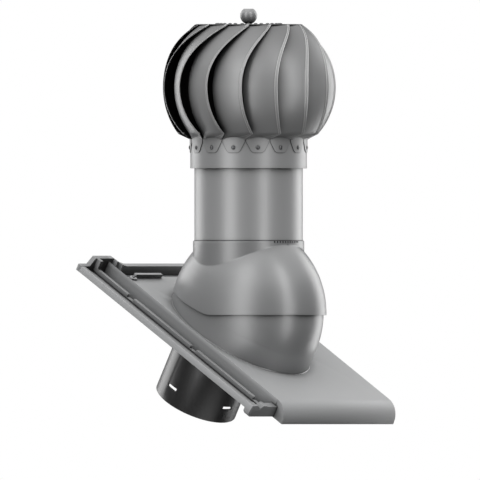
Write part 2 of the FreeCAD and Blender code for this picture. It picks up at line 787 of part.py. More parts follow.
def lock_screws():
    """Screws from inside, through the arc slots into the cap."""
    face = "base_half - base_wall - lock_pad - fit / 2"
    under = face + " - lock_washer"
    end = under + " - lock_head"
    screws = []
    for name, side in (("left", "-1"), ("right", "1")):
        screws.append(lock_run("lock_washer_" + name, "lock_washer_r", under, face, side))
        screws.append(lock_run("lock_head_" + name, "lock_head_r", end, under, side))
        screws.append(lock_run("lock_shank_" + name, "lock_screw_r", end, lock_tip() + " - 2 * fit", side))
    node(fused("lock_screw_set", *screws), "pitch_lock_screws")


# Neck, bearing spider and housing, in the dome frame
def neck_tube():
    outer = "neck_d / 2"
    inner = "neck_d / 2 - neck_wall"
    tube = turned("neck_pipe", [
        (inner, "neck_seat"), (outer, "neck_seat"), (outer, "neck_top"), (inner, "neck_top"),
    ])
    node(cut("neck_cut", tube, spider_holes("neck_rivet_holes")), "neck_tube")


def spider_holes(name):
    height = "spider_z + spider_t + spider_tab / 2"
    return ring_of(turned(name, [
        ("neck_d / 4", "0"), ("neck_d", "0"), ("neck_d", "rivet_r"), ("neck_d / 4", "rivet_r"),
    ], axis="H_Axis", shift=("0", height, "0")), "3")


def bearing_spider():
    reach = "neck_d / 2 - neck_wall"
    hub = rod("spider_hub", "spider_hub_r", "spider_t", ("0", "0", "spider_z"))
    arms = [hub]
    for index in range(3):
        arm = block("spider_arm_%d" % index, ("0", "-spider_arm / 2", "spider_z"),
                    ("neck_d", "spider_arm / 2", "spider_z + spider_t"))
        tab = block("spider_tab_%d" % index, (reach + " - 1.5 * spider_t", "-spider_arm / 2", "spider_z"),
                    ("neck_d", "spider_arm / 2", "spider_z + spider_t + spider_tab"))
        arms.append(place(fused("spider_leg_%d" % index, arm, tab), turn=str(120 * index)))
    rough = fused("spider_rough", *arms)
    drum = rod("spider_drum", reach, "4 * spider_tab", ("0", "0", "spider_z - spider_tab"))
    solid = shared("spider_solid", rough, drum)
    bore = rod("spider_bore", "bearing_d / 2 + housing_wall", "4 * spider_tab", ("0", "0", "spider_z - spider_tab"))
    tools = [bore, spider_holes("spider_rivet_holes"), housing_holes("spider_screw_holes")]
    node(cut("spider_cut", solid, *tools), "bearing_spider")


def housing_holes(name):
    return ring_of(turned(name, [
        ("-housing_screw_r", "spider_z - over"), ("0", "spider_z - over"), ("0", "spider_z + spider_tab"),
        ("-housing_screw_r", "spider_z + spider_tab"),
    ], shift=("housing_flange_r - housing_screw_in", "0", "0")), "3")


def spider_rivets():
    """Rivets through the neck into the bent ends of the spider."""
    outer = "neck_d / 2"
    inner = "neck_d / 2 - neck_wall - 1.5 * spider_t"
    rivets = ring_of(turned("spider_rivet_ring", [
        (inner + " - rivet_head", "0"), (outer + " + rivet_head", "0"), (outer + " + rivet_head", "0.6 * rivet_head_r"),
        (outer + " + 0.4 * rivet_head", "rivet_head_r"), (outer, "rivet_head_r"), (outer, "rivet_r"),
        (inner, "rivet_r"), (inner, "rivet_head_r"), (inner + " - rivet_head", "rivet_head_r"),
    ], axis="H_Axis", shift=("0", "spider_z + spider_t + spider_tab / 2", "0")), "3")
    node(rivets, "spider_rivets")


def bearing_housing():
    top = "spider_z + spider_t"
    seat = "bearing_d / 2"
    outer = "bearing_d / 2 + housing_wall"
    low_seat = "housing_low + housing_lip + bearing_w"
    tube = turned("housing_tube", [
        (seat + " - housing_lip", "housing_low"), (outer, "housing_low"), (outer, top),
        ("housing_flange_r", top), ("housing_flange_r", top + " + housing_flange"),
        (seat, top + " + housing_flange"), (seat, top + " + housing_flange - bearing_w"),
        (seat + " - housing_lip", top + " + housing_flange - bearing_w"),
        (seat + " - housing_lip", top + " + housing_flange - bearing_w - housing_lip"),
        (seat, top + " + housing_flange - bearing_w - housing_lip"),
        (seat, "housing_low + housing_lip"), (seat + " - housing_lip", "housing_low + housing_lip"),
    ])
    node(cut("housing_cut", tube, housing_holes("housing_screw_holes")), "bearing_housing")
    screws = ring_of(turned("housing_screw_ring", [
        ("0", "spider_z - housing_head"), ("-housing_head_r", "spider_z - housing_head"), ("-housing_head_r", "spider_z"),
        ("-housing_screw_r", "spider_z"), ("-housing_screw_r", top + " + housing_flange"),
        ("-housing_head_r", top + " + housing_flange"), ("-housing_head_r", top + " + housing_flange + housing_head"),
        ("0", top + " + housing_flange + housing_head"),
    ], shift=("housing_flange_r - housing_screw_in", "0", "0")), "3")
    node(screws, "housing_screws")


def bearings():
    """Two shielded ball bearings: the outer rings stay, the inner rings turn."""
    seats = (("upper", "spider_z + spider_t + housing_flange - bearing_w"), ("lower", "housing_low + housing_lip"))
    rim = "bearing_d / 2"
    bore = "shaft_d / 2"
    split = "shaft_d / 2 + bearing_shell"
    inside = split + " + bearing_gap"
    for name, low in seats:
        high = low + " + bearing_w"
        outer = turned("outer_ring_" + name, [
            (inside, low + " + bearing_edge"), (rim, low), (rim, high), (inside, high + " - bearing_edge"),
            (inside, high + " - shield_in"), (rim + " - shield_rim", high + " - shield_in"),
            (rim + " - shield_rim", low + " + shield_in"), (inside, low + " + shield_in"),
        ])
        node(outer, "bearing_outer_" + name)
        inner = turned("inner_ring_" + name, [(bore, low), (split, low), (split, high), (bore, high)])
        node(inner, "bearing_inner_" + name)


def rotor_shaft():
    upper = "spider_z + spider_t + housing_flange"
    low = "housing_low + housing_lip"
    tail = low + " - shaft_tail"
    bore = "shaft_d / 2"
    groove = "shaft_d / 2 - clip_groove"
    top = "plate_top + finial_r"
    shaft = turned("shaft_bar", [
        ("0", tail), (bore + " - shaft_edge", tail), (bore, tail + " + shaft_edge"), (bore, low + " - clip_t"),
        (groove, low + " - clip_t"), (groove, low), (bore, low),
        (bore, upper), (bore + " + shaft_step", upper), (bore + " + shaft_step", upper + " + shaft_collar"),
        (bore, upper + " + shaft_collar"), (bore, top), ("0", top),
    ])
    node(shaft, "rotor_shaft")
    clip = turned("clip_ring", [
        (groove, low + " - clip_t"), (bore + " + clip_rise", low + " - clip_t"), (bore + " + clip_rise", low),
        (groove, low),
    ])
    gap = block("clip_mouth", ("0", "-clip_gap / 2", low + " - clip_t - over"), ("shaft_d", "clip_gap / 2", low + " + over"))
    node(cut("clip_cut", clip, gap), "shaft_circlip")


# Turbine head, in the dome frame
def plate_hub():
    bore = "shaft_d / 2"
    top = "plate_top - 2 * sheet"
    under = top + " - hub_flange"
    reach = "plate_rivets_r + hub_out"
    hub = turned("hub_turned", [
        (bore, "plate_top - hub_long"), ("hub_r", "plate_top - hub_long"), ("hub_r", under + " - hub_neck"),
        ("hub_r + hub_neck", under), (reach, under), (reach, top), (bore, top),
    ])
    node(cut("hub_cut", hub, plate_holes("hub_rivet_holes")), "plate_hub", turn=plate_turn())


def plate_holes(name):
    return ring_of(turned(name, [
        ("-rivet_r", "plate_top - hub_long"), ("0", "plate_top - hub_long"), ("0", "plate_top + over"),
        ("-rivet_r", "plate_top + over"),
    ], shift=("plate_rivets_r", "0", "0")), "vane_count")


def top_tab_middle():
    return "360 / vane_count * ear_turn"


def plate_turn():
    return "vane_phase + 360 / vane_count * ear_turn"


def top_plate():
    bore = "shaft_d / 2"
    disc = turned("plate_disc", [
        (bore, "plate_top - sheet"), ("plate_r", "plate_top - sheet"), ("plate_r", "plate_top - 0.3 * sheet"),
        ("plate_r - 0.7 * sheet", "plate_top"), (bore, "plate_top"),
    ])
    node(cut("plate_cut", disc, plate_holes("plate_rivet_holes")), "top_plate", turn=plate_turn())


def plate_rivets():
    low = "plate_top - 2 * sheet - hub_flange"
    rivets = ring_of(turned("plate_rivet_ring", [
        ("0", low + " - rivet_head"), ("-rivet_head_r", low + " - rivet_head"), ("-rivet_head_r", low),
        ("-rivet_r", low), ("-rivet_r", "plate_top"), ("-rivet_head_r", "plate_top"),
        ("-rivet_head_r", "plate_top + 0.4 * rivet_head"), ("-0.6 * rivet_head_r", "plate_top + rivet_head"),
        ("0", "plate_top + rivet_head"),
    ], shift=("plate_rivets_r", "0", "0")), "vane_count")
    node(rivets, "plate_rivets", turn=plate_turn())


def finial_ball():
    ball = doc.addObject("Part::Sphere", "finial_sphere")
    bind(ball, "Radius", "finial_r")
    place(ball, ("0", "0", "plate_top + finial_r - finial_flat"))
    flat = block("finial_under", ("-finial_r", "-finial_r", "plate_top - over"), ("finial_r", "finial_r", "plate_top"))
    bore = rod("finial_bore", "shaft_d / 2", "finial_r + over", ("0", "0", "plate_top - over"))
    node(cut("finial_cut", ball, flat, bore), "finial_ball")


def collar_ring():
    ring = turned("ring_band", [
        ("ring_r - sheet", "ring_low"), ("ring_r", "ring_low"), ("ring_r", "tab_top"), ("ring_r - sheet", "tab_top"),
    ])
    node(cut("ring_cut", ring, tab_rivet_holes("ring_rivet_holes")), "collar_ring", turn="vane_phase")


def tab_rivet_holes(name):
    return ring_of(turned(name, [
        ("ring_r / 2", "0"), ("2 * ring_r", "0"), ("2 * ring_r", "rivet_r"), ("ring_r / 2", "rivet_r"),
    ], axis="H_Axis", shift=("0", "tab_rivet", "0")), "vane_count")


def collar_rivets():
    inner = "ring_r - sheet - ring_seat"
    outer = "ring_r + sheet"
    rivets = ring_of(turned("collar_rivet_ring", [
        (inner + " - 0.4 * rivet_head", "0"), (outer + " + rivet_head", "0"),
        (outer + " + rivet_head", "0.6 * rivet_head_r"), (outer + " + 0.4 * rivet_head", "rivet_head_r"),
        (outer, "rivet_head_r"), (outer, "rivet_r"), (inner, "rivet_r"), (inner, "rivet_head_r"),
        (inner + " - 0.4 * rivet_head", "rivet_head_r"),
    ], axis="H_Axis", shift=("0", "tab_rivet", "0")), "vane_count")
    node(rivets, "collar_rivets", turn="vane_phase")


def polar(radius, degrees):
    angle = math.radians(degrees)
    return Vector(radius * math.cos(angle), radius * math.sin(angle), 0)


def swing(share, up, down):
    """Degrees that a blade edge has swung at a share of the half height."""
    square, fourth = up if share > 0 else down
    return square * share ** 2 + fourth * share ** 4


def blade_section(height):
    """Corner points of one level cut through a blade, outer face first."""
    share = (height - number("globe_mid")) / number("globe_half")
    level = math.sqrt(1 - share ** 2)
    outer_r = number("globe_r") * level
    inner_r = outer_r - number("blade_depth") * level ** DEPTH_FADE
    outer_at = number("blade_outer") + swing(share, OUTER_SWING_UP, OUTER_SWING_DOWN)
    inner_at = -number("blade_inner") + swing(share, INNER_SWING_UP, INNER_SWING_DOWN)
    lip_share = number("blade_lip") / (outer_at - inner_at)
    fold_at = outer_at - number("blade_lip")
    fold_r = outer_r - (outer_r - inner_r) * lip_share - number("blade_lip_bend") * level
    middle_r = (inner_r + fold_r) / 2 + number("blade_bulge") * level ** BULGE_FADE
    slope = abs(share) * number("globe_r") / number("globe_half") / level
    wall = number("sheet") * math.sqrt(1 + slope ** 2)
    face = [polar(inner_r, inner_at), polar(middle_r, (inner_at + fold_at) / 2), polar(fold_r, fold_at),
            polar(outer_r, outer_at)]
    back = [polar(inner_r - wall, inner_at), polar(middle_r - wall, (inner_at + fold_at) / 2),
            polar(fold_r - wall, fold_at), polar(outer_r - wall, outer_at)]
    return face, back


def section_sketch(name, height, face, back):
    """A closed outline: bulged wall and straight lip, there and back."""
    sketch = doc.addObject("Sketcher::SketchObject", name)
    sketch.addGeometry(Part.Arc(face[0], face[1], face[2]), False)
    sketch.addGeometry(Part.LineSegment(face[2], face[3]), False)
    sketch.addGeometry(Part.LineSegment(face[3], back[3]), False)
    sketch.addGeometry(Part.LineSegment(back[3], back[2]), False)
    sketch.addGeometry(Part.Arc(back[2], back[1], back[0]), False)
    sketch.addGeometry(Part.LineSegment(back[0], face[0]), False)
    return place(sketch, ("0", "0", height))


def lofted(name, sections, ruled):
    item = doc.addObject("Part::Loft", name)
    item.Sections = sections
    item.Solid = True
    item.Ruled = ruled
    return item


def blade():
    """The bulged sheet with its bent lip, from the foot up to the plate."""
    foot = number("blade_foot")
    top = number("plate_top - sheet")
    sections = []
    for index in range(BLADE_SECTIONS):
        share = index / (BLADE_SECTIONS - 1)
        height = "blade_foot + %s * (plate_top - sheet - blade_foot)" % share
        face, back = blade_section(foot + share * (top - foot))
        sections.append(section_sketch("blade_section_%d" % index, height, face, back))
    return lofted("blade_sheet", sections, False)


def blade_skirt():
    """The shallow cone that leads the blade in to the collar ring."""
    half = number("180 / vane_count - tab_side")
    fold = 0.7 * half
    inner = number("ring_r")
    outer = number("ring_r + sheet")
    face = [polar(outer, -half), polar(outer, (fold - half) / 2), polar(outer, fold), polar(outer, half)]
    back = [polar(inner, -half), polar(inner, (fold - half) / 2), polar(inner, fold), polar(inner, half)]
    low = section_sketch("skirt_low", "tab_top", face, back)
    top_face, top_back = blade_section(number("blade_foot"))
    high = section_sketch("skirt_high", "blade_foot", top_face, top_back)
    return lofted("blade_skirt", [low, high], True)


def lower_tab():
    """The rounded tab that lies on the collar ring."""
    half = "ring_r * sin(180 / vane_count - tab_side)"
    foot = "ring_r * sin(180 / vane_count - tab_side - tab_taper)"
    edge = "tab_top - tab_edge"
    plate = padded("tab_outline", "YZ_Plane", [
        ("-(%s)" % half, edge), ("-(%s)" % foot, "tab_foot"), (foot, "tab_foot"), (half, edge),
        (half, "tab_top"), ("-(%s)" % half, "tab_top"),
    ], "ring_r", "ring_r / 2", edges=tab_corner, round_r="tab_corner_r")
    band = turned("tab_band", [
        ("ring_r", "tab_foot - over"), ("ring_r + sheet", "tab_foot - over"), ("ring_r + sheet", "tab_top"),
        ("ring_r", "tab_top"),
    ])
    return shared("lower_tab", band, plate)


def tab_corner(edge):
    box = edge.BoundBox
    return box.XLength > number("ring_r / 2") and box.ZMax < number("tab_foot + fit")


def upper_tab():
    """The flat ear under the top plate, out to the blade."""
    sector = doc.addObject("Part::Cylinder", "ear_sector")
    bind(sector, "Radius", "plate_r - ear_in")
    bind(sector, "Height", "sheet")
    bind(sector, "Angle", "360 / vane_count - 2 * tab_side - ear_short")
    place(sector, ("0", "0", "plate_top - 2 * sheet"), (0, 0, 1), "360 / vane_count * (ear_turn - 0.5) + tab_side")
    core = rod("ear_core", "plate_rivets_r - hub_out", "4 * sheet", ("0", "0", "plate_top - 3 * sheet"))
    return cut("upper_tab", sector, core)


def vanes():
    solid = fused("vane_solid", blade(), blade_skirt(), lower_tab(), upper_tab())
    side = rod("tab_hole", "rivet_r", "ring_r", ("ring_r / 2", "0", "tab_rivet"), (0, 1, 0), "90")
    ear_x = "plate_rivets_r * cos(%s)" % top_tab_middle()
    ear_y = "plate_rivets_r * sin(%s)" % top_tab_middle()
    ear = rod("ear_hole", "rivet_r", "4 * sheet", (ear_x, ear_y, "plate_top - 3 * sheet"))
    first = cut("vane_pattern", solid, side, ear)
    for index in range(round(number("vane_count"))):
        copy = doc.addObject("Part::Compound", "vane_copy_%d" % index)
        copy.Links = [first]
        node(copy, "vane_%02d" % (index + 1), turn="vane_phase + %d * 360 / vane_count" % index)


roof_tile()
dome_base()
duct_spigot()
spigot_screws()
dome_cap()
lock_screws()
neck_tube()
bearing_spider()
spider_rivets()
bearing_housing()
bearings()
rotor_shaft()
plate_hub()
top_plate()
plate_rivets()
finial_ball()
collar_ring()
collar_rivets()
vanes()
doc.recompute()

for item in doc.Objects:
    if "Invalid" in item.State or "Error" in item.State:
        raise RuntimeError("%s did not build: %s" % (item.Name, item.State))
os.makedirs("parts", exist_ok=True)
for item in nodes:
    if item.Shape.isNull() or not item.Shape.isValid() or not item.Shape.Solids:
        raise RuntimeError("%s has no sound shape" % item.Label)
    item.Shape.exportStep("parts/%s.step" % item.Label)
    print(item.Label, len(item.Shape.Solids), round(item.Shape.Volume), item.Shape.BoundBox)
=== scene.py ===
"""Looks of a wind-driven roof ventilator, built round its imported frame, in metres."""

import json
import logging
import math
from dataclasses import dataclass
from enum import Enum
from typing import Callable, Sequence

import bmesh
import bpy
import numpy as np
from mathutils import Matrix, Vector


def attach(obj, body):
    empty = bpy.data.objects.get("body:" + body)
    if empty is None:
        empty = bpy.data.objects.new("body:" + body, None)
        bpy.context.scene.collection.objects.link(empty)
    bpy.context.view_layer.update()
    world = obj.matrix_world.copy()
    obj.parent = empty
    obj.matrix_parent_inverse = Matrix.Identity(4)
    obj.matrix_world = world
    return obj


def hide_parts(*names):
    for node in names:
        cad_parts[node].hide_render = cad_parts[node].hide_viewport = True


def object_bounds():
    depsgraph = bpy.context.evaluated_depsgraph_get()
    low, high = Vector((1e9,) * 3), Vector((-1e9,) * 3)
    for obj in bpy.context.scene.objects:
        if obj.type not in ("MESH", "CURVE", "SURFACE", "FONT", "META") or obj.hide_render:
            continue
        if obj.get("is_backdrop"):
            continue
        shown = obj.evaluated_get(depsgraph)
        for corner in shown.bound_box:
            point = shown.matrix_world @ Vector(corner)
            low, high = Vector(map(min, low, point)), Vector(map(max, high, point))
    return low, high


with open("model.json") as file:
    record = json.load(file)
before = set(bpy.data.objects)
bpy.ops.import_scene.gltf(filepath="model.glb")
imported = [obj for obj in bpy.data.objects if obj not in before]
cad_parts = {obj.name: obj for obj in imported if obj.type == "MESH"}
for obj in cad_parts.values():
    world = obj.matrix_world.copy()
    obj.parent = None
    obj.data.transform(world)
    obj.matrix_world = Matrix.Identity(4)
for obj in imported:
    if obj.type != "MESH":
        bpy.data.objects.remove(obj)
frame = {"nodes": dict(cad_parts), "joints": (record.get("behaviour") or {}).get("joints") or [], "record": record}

log = logging.getLogger("roof_ventilator")
EDGE_HIGHLIGHT = "painted_edge_highlight"
MERGE_GAP = 1e-6
TINY_EDGE = 1e-7
HALVINGS = 40
CREASE = math.radians(32)
Colour = tuple[float, float, float]
Pairs = Sequence[tuple[float, float]]
Node = bpy.types.Node
Piece = bpy.types.Object
Socket = bpy.types.NodeSocket
Tree = bpy.types.NodeTree


class Body(Enum):
    """The rigid bodies of the frame that pieces ride on."""

    TILE = "tile"
    CAP = "cap"
    ROTOR = "rotor"


class Slot(Enum):
    """The record's material slots."""

    TILE = "tile_grey"
    DOME = "dome_grey"
    NECK = "neck_grey"
    DUCT = "duct_black"
    SEAL = "seal_black"
    TURBINE = "turbine_grey"
    RIVET = "rivet_steel"
    ZINC = "zinc_steel"
    BEARING = "bearing_steel"


def joint_centre(name: str) -> np.ndarray:
    """Find the point that a joint turns about, in metres."""
    return np.array(next(j["pos_m"] for j in frame["joints"] if j["name"] == name), float)


DOME_CENTRE = joint_centre("pitch_adjust")
ROOF_PITCH = math.radians(30)

# Where a mask starts to rise, and how steeply: on the turbine's inner side, then in the painted shade of the side
# lock, below the head wall and on the turbine's top
INWARD = (0.0, -4.0)
LOCK_LEFT, LOCK_RIGHT = (-0.1462, 1000.0), (-0.0952, -2000.0)
LOCK_FACING = (-0.5, 8.0)
HEAD_FACING, HEAD_PLACE = (0.3, 3.0), (0.02, 50.0)
CROWN_PLACE = (0.465, 9.0)

DOWN_SLOPE = (0.0, -0.8, -0.6)
# Colours of the painted shade: first in crevices and at set places, then on the turbine's inner side
PAINTED_SHADE_TONE = 0.012
SHADE_TONE = 0.006
DUST_TONE = (0.5, 0.49, 0.47)
MOTTLE_SHARE = 0.5
STREAK_STRETCH = (1.0, 1.0, 0.06)


# Node trees


def opaque(colour: Colour | float) -> tuple[float, float, float, float]:
    """Give a colour or a grey tone its full opacity."""
    red, green, blue = (colour,) * 3 if isinstance(colour, float) else colour
    return (red, green, blue, 1.0)


class Wiring:
    """Places and links the nodes of one node tree."""

    def __init__(self, tree: Tree) -> None:
        """Start with an empty tree.

        Args:
            tree: The node tree to fill.
        """
        self.tree = tree
        tree.nodes.clear()

    def feed(self, socket: Socket, value: object) -> None:
        """Link an input to its source, or set its plain value.

        Args:
            socket: The input.
            value: A socket or a plain value.
        """
        if isinstance(value, Socket):
            self.tree.links.new(value, socket)
        else:
            socket.default_value = value

    def add(self, kind: str, inputs: dict[str, object] | None = None, **settings: object) -> Node:
        """Add a node, set its properties and feed its inputs.

        Args:
            kind: Blender's node type name.
            inputs: Sockets or plain values by the name of the input.
            **settings: Property names and values of the node.

        Returns:
            The new node.
        """
        node = self.tree.nodes.new(kind)
        for name, value in settings.items():
            setattr(node, name, value)
        for name, value in (inputs or {}).items():
            self.feed(node.inputs[name], value)
        return node

    def combine(self, kind: str, operation: str, values: Sequence[object]) -> Socket:
        """Add a node whose inputs go by their order.

        Args:
            kind: Blender's node type name.
            operation: Name of the node's operation.
            values: Sockets or plain values.

        Returns:
            The result's socket.
        """
        node = self.add(kind, operation=operation)
        for socket, value in zip(node.inputs, values):
            self.feed(socket, value)
        return next(socket for socket in node.outputs if socket.enabled)

    def math(self, operation: str, *values: object) -> Socket:
        """Combine numbers with a Math node."""
        return self.combine("ShaderNodeMath", operation, values)

    def times(self, first: object, second: object) -> Socket:
        """Multiply two numbers."""
        return self.math("MULTIPLY", first, second)

    def vector(self, operation: str, *values: object) -> Socket:
        """Combine vectors with a Vector Math node."""
        return self.combine("ShaderNodeVectorMath", operation, values)

    def below_one(self, value: Socket) -> Socket:
        """Keep a number from passing 1."""
        return self.math("MINIMUM", value, 1.0)

    def ramp(self, value: Socket, start: float, gain: float) -> Socket:
        """Rise from 0 to 1 past a start, or before it where the gain is negative."""
        climb = self.times(self.math("SUBTRACT", value, start), gain)
        return self.below_one(self.math("MAXIMUM", climb, 0.0))

    def mix(self, factor: Socket, first: object, second: object) -> Socket:
        """Mix two colours, by the share of the second one."""
        node = self.add("ShaderNodeMix", {"Factor": factor, "A": first, "B": second}, data_type="RGBA")
        return node.outputs["Result"]

    def noise(self, vector: Socket, scale: Socket, detail: float) -> Socket:
        """Add a noise texture of so many features per metre."""
        node = self.add("ShaderNodeTexNoise", {"Detail": detail, "Scale": scale, "Vector": vector})
        return node.outputs["Fac"]


def new_group(name: str, inputs: dict[str, float],
              outputs: Sequence[str]) -> tuple[Tree, Wiring, Node, Node]:
    """Make an empty shader node group with number sockets.

    Args:
        name: The group's name.
        inputs: Input names and their default values.
        outputs: Output names.

    Returns:
        The group's tree, the wiring that fills it, and its input and output nodes.
    """
    tree = bpy.data.node_groups.new(name, "ShaderNodeTree")
    for label, value in inputs.items():
        socket = tree.interface.new_socket(label, in_out="INPUT", socket_type="NodeSocketFloat")
        socket.default_value = value
    for label in outputs:
        tree.interface.new_socket(label, in_out="OUTPUT", socket_type="NodeSocketFloat")
    wires = Wiring(tree)
    return tree, wires, wires.add("NodeGroupInput"), wires.add("NodeGroupOutput")


def surface_wear_group() -> Tree:
    """Build the group for uneven tone, fine grain and rain streaks.

    Returns:
        A group that puts out a tone mask, a streak mask and a height.
    """
    inputs = {"Mottle Scale": 12.0, "Grain Scale": 900.0, "Streak Scale": 60.0}
    tree, wires, source, sink = new_group("surface_wear", inputs, ("Mottle", "Streaks", "Grain"))
    place = wires.add("ShaderNodeTexCoord").outputs["Object"]
    upright = wires.add("ShaderNodeMapping", {"Vector": place, "Scale": STREAK_STRETCH}).outputs["Vector"]
    wires.feed(sink.inputs["Mottle"], wires.noise(place, source.outputs["Mottle Scale"], 4.0))
    wires.feed(sink.inputs["Grain"], wires.noise(place, source.outputs["Grain Scale"], 2.0))
    wires.feed(sink.inputs["Streaks"], wires.noise(upright, source.outputs["Streak Scale"], 2.0))
    return tree


def settled_dust_group() -> Tree:
    """Build the group for the thin film of dust on faces that look up.

    Returns:
        A group that puts out a dust mask.
    """
    tree, wires, source, sink = new_group("settled_dust", {"Patch Scale": 25.0, "Amount": 0.3}, ("Dust",))
    coords = wires.add("ShaderNodeTexCoord")
    split = wires.add("ShaderNodeSeparateXYZ", {"Vector": coords.outputs["Normal"]})
    facing_up = wires.math("MAXIMUM", split.outputs["Z"], 0.0)
    patches = wires.noise(coords.outputs["Object"], source.outputs["Patch Scale"], 5.0)
    spread = wires.times(wires.times(facing_up, facing_up), patches)
    wires.feed(sink.inputs["Dust"], wires.times(spread, source.outputs["Amount"]))
    return tree


def inner_side_group() -> Tree:
    """Build the group for the painted shade on the faces which look in at the turbine's axis.

    Returns:
        A group that puts out how far a face is darkened by painted shade.
    """
    tree, wires, source, sink = new_group("inner_side", {"Amount": 0.0}, ("Shade",))
    coords = wires.add("ShaderNodeTexCoord")
    from_axis = wires.vector("SUBTRACT", coords.outputs["Object"], tuple(DOME_CENTRE))
    outward = wires.vector("NORMALIZE", wires.vector("MULTIPLY", from_axis, (1.0, 1.0, 0.0)))
    facing = wires.vector("DOT_PRODUCT", outward, coords.outputs["Normal"])
    mask = wires.ramp(facing, *INWARD)
    wires.feed(sink.inputs["Shade"], wires.times(mask, source.outputs["Amount"]))
    return tree


def crevice_shade_group() -> Tree:
    """Build the group for the painted shade in corners, gaps and seams, from ambient occlusion.

    Returns:
        A group that puts out a mask of painted shade.
    """
    inputs = {"Reach": 0.02, "Amount": 0.5, "Line Reach": 0.003, "Line Amount": 0.5}
    tree, wires, source, sink = new_group("painted_crevice_shade", inputs, ("Crevice Shade",))
    films = []
    for kind in ("", "Line "):
        corner = wires.add("ShaderNodeAmbientOcclusion", {"Distance": source.outputs[kind + "Reach"]}, samples=8)
        closed = wires.math("SUBTRACT", 1.0, corner.outputs["AO"])
        films.append(wires.times(closed, source.outputs[kind + "Amount"]))
    wires.feed(sink.inputs["Crevice Shade"], wires.below_one(wires.math("ADD", *films)))
    return tree


def placed_shade_group() -> Tree:
    """Build the group for the painted shade in the side lock, under the head wall and on the turbine's top.

    Returns:
        A group that puts out how dark the painted shade is.
    """
    inputs = {"Amount": 0.0, "Head Amount": 0.0, "Crown Amount": 0.0}
    tree, wires, source, sink = new_group("painted_placed_shade", inputs, ("Placed Shade",))
    coords = wires.add("ShaderNodeTexCoord")
    place = wires.add("ShaderNodeSeparateXYZ", {"Vector": coords.outputs["Object"]}).outputs
    facing = wires.vector("DOT_PRODUCT", coords.outputs["Normal"], DOWN_SLOPE)
    strip = wires.times(wires.ramp(place["X"], *LOCK_LEFT), wires.ramp(place["X"], *LOCK_RIGHT))
    masks = {
        "Amount": wires.times(strip, wires.ramp(facing, *LOCK_FACING)),
        "Head Amount": wires.times(wires.ramp(facing, *HEAD_FACING), wires.ramp(place["Y"], *HEAD_PLACE)),
        "Crown Amount": wires.ramp(place["Z"], *CROWN_PLACE),
    }
    lock, head, crown_shade = [wires.times(mask, source.outputs[name]) for name, mask in masks.items()]
    placed_shade = wires.math("ADD", wires.math("ADD", lock, head), crown_shade)
    wires.feed(sink.inputs["Placed Shade"], wires.below_one(placed_shade))
    return tree


def new_material(name: str) -> tuple[bpy.types.Material, Wiring]:
    """Make a material with an empty node tree.

    Args:
        name: The material's name.

    Returns:
        The material and the wiring that fills it.
    """
    material = bpy.data.materials.new(name)
    material.use_nodes = True
    return material, Wiring(material.node_tree)


@dataclass(frozen=True)
class Finish:
    """One finish: a base tone with its own grain, streaks, dust and gloss, and with painted shade and painted edge
    highlights.
    """

    name: str
    slot: Slot
    tone: Colour
    dark_tone: Colour
    roughness: float
    roughness_spread: float = 0.12
    metallic: float = 0.0
    mottle_scale: float = 12.0
    grain_scale: float = 900.0
    grain_height: float = 0.00004
    streaks: float = 0.15
    dust: float = 0.12
    specular: float = 0.5
    inner_shade: float = 0.0
    crevice_shade: float = 0.9
    crevice_shade_reach: float = 0.02
    seam_shade: float = 0.9
    edge_highlight: float = 0.8
    edge_highlight_tone: float = 0.8
    lock_shade: float = 0.0
    head_shade: float = 0.0
    crown_shade: float = 0.0

    def build(self, groups: dict[str, Tree]) -> bpy.types.Material:
        """Build the material.

        Args:
            groups: The shared shader node groups by name.

        Returns:
            The finished material.
        """
        material, wires = new_material(self.name)

        def group(name: str, **inputs: float) -> Node:
            """Add a shared group, with its inputs by their names in lower case."""
            values = {key.replace("_", " ").title(): value for key, value in inputs.items()}
            return wires.add("ShaderNodeGroup", values, node_tree=groups[name])

        wear_and_highlight = group("surface_wear", mottle_scale=self.mottle_scale, grain_scale=self.grain_scale)
        dust = group("settled_dust", amount=self.dust)
        # Painted shade: ambient occlusion darkens corners, gaps and seams, and set places darken as if in shade: the
        # side lock, below the head wall and the turbine's top
        crevice_shade = group("painted_crevice_shade", amount=self.crevice_shade, reach=self.crevice_shade_reach, line_amount=self.seam_shade)
        placed_shade = group("painted_placed_shade", amount=self.lock_shade, head_amount=self.head_shade, crown_amount=self.crown_shade)
        painted_shade = wires.below_one(wires.math("ADD", crevice_shade.outputs["Crevice Shade"], placed_shade.outputs["Placed Shade"]))
        streaks = wires.times(wear_and_highlight.outputs["Streaks"], self.streaks)
        mask = wires.math("ADD", wires.times(wear_and_highlight.outputs["Mottle"], MOTTLE_SHARE), streaks)
        colour = wires.mix(mask, opaque(self.tone), opaque(self.dark_tone))
        colour = wires.mix(dust.outputs["Dust"], colour, opaque(DUST_TONE))
        # The painted shade turns the colour towards near-black
        colour = wires.mix(painted_shade, colour, opaque(PAINTED_SHADE_TONE))
        # Painted highlight: the marked edges and lips turn lighter, as if they caught the light
        edge = wires.add("ShaderNodeAttribute", attribute_name=EDGE_HIGHLIGHT).outputs["Fac"]
        colour = wires.mix(wires.times(edge, self.edge_highlight), colour, opaque(self.edge_highlight_tone))
        metallic = self.metallic
        if self.inner_shade:
            # Painted shade: near-black metal takes both the tone and the gloss off the faces that look inwards, as if
            # the turbine's inside lay in shade
            metallic = group("inner_side", amount=self.inner_shade).outputs["Shade"]
            colour = wires.mix(metallic, colour, opaque(SHADE_TONE))
        spread = wires.times(wear_and_highlight.outputs["Mottle"], self.roughness_spread)
        bump = wires.add("ShaderNodeBump", {"Distance": self.grain_height, "Height": wear_and_highlight.outputs["Grain"]})
        shader = wires.add("ShaderNodeBsdfPrincipled", {
            "Base Color": colour,
            "Metallic": metallic,
            "Roughness": wires.math("ADD", spread, self.roughness - self.roughness_spread / 2),
            "Specular IOR Level": self.specular,
            "Normal": bump.outputs["Normal"],
        })
        wires.add("ShaderNodeOutputMaterial", {"Surface": shader.outputs["BSDF"]})
        return material


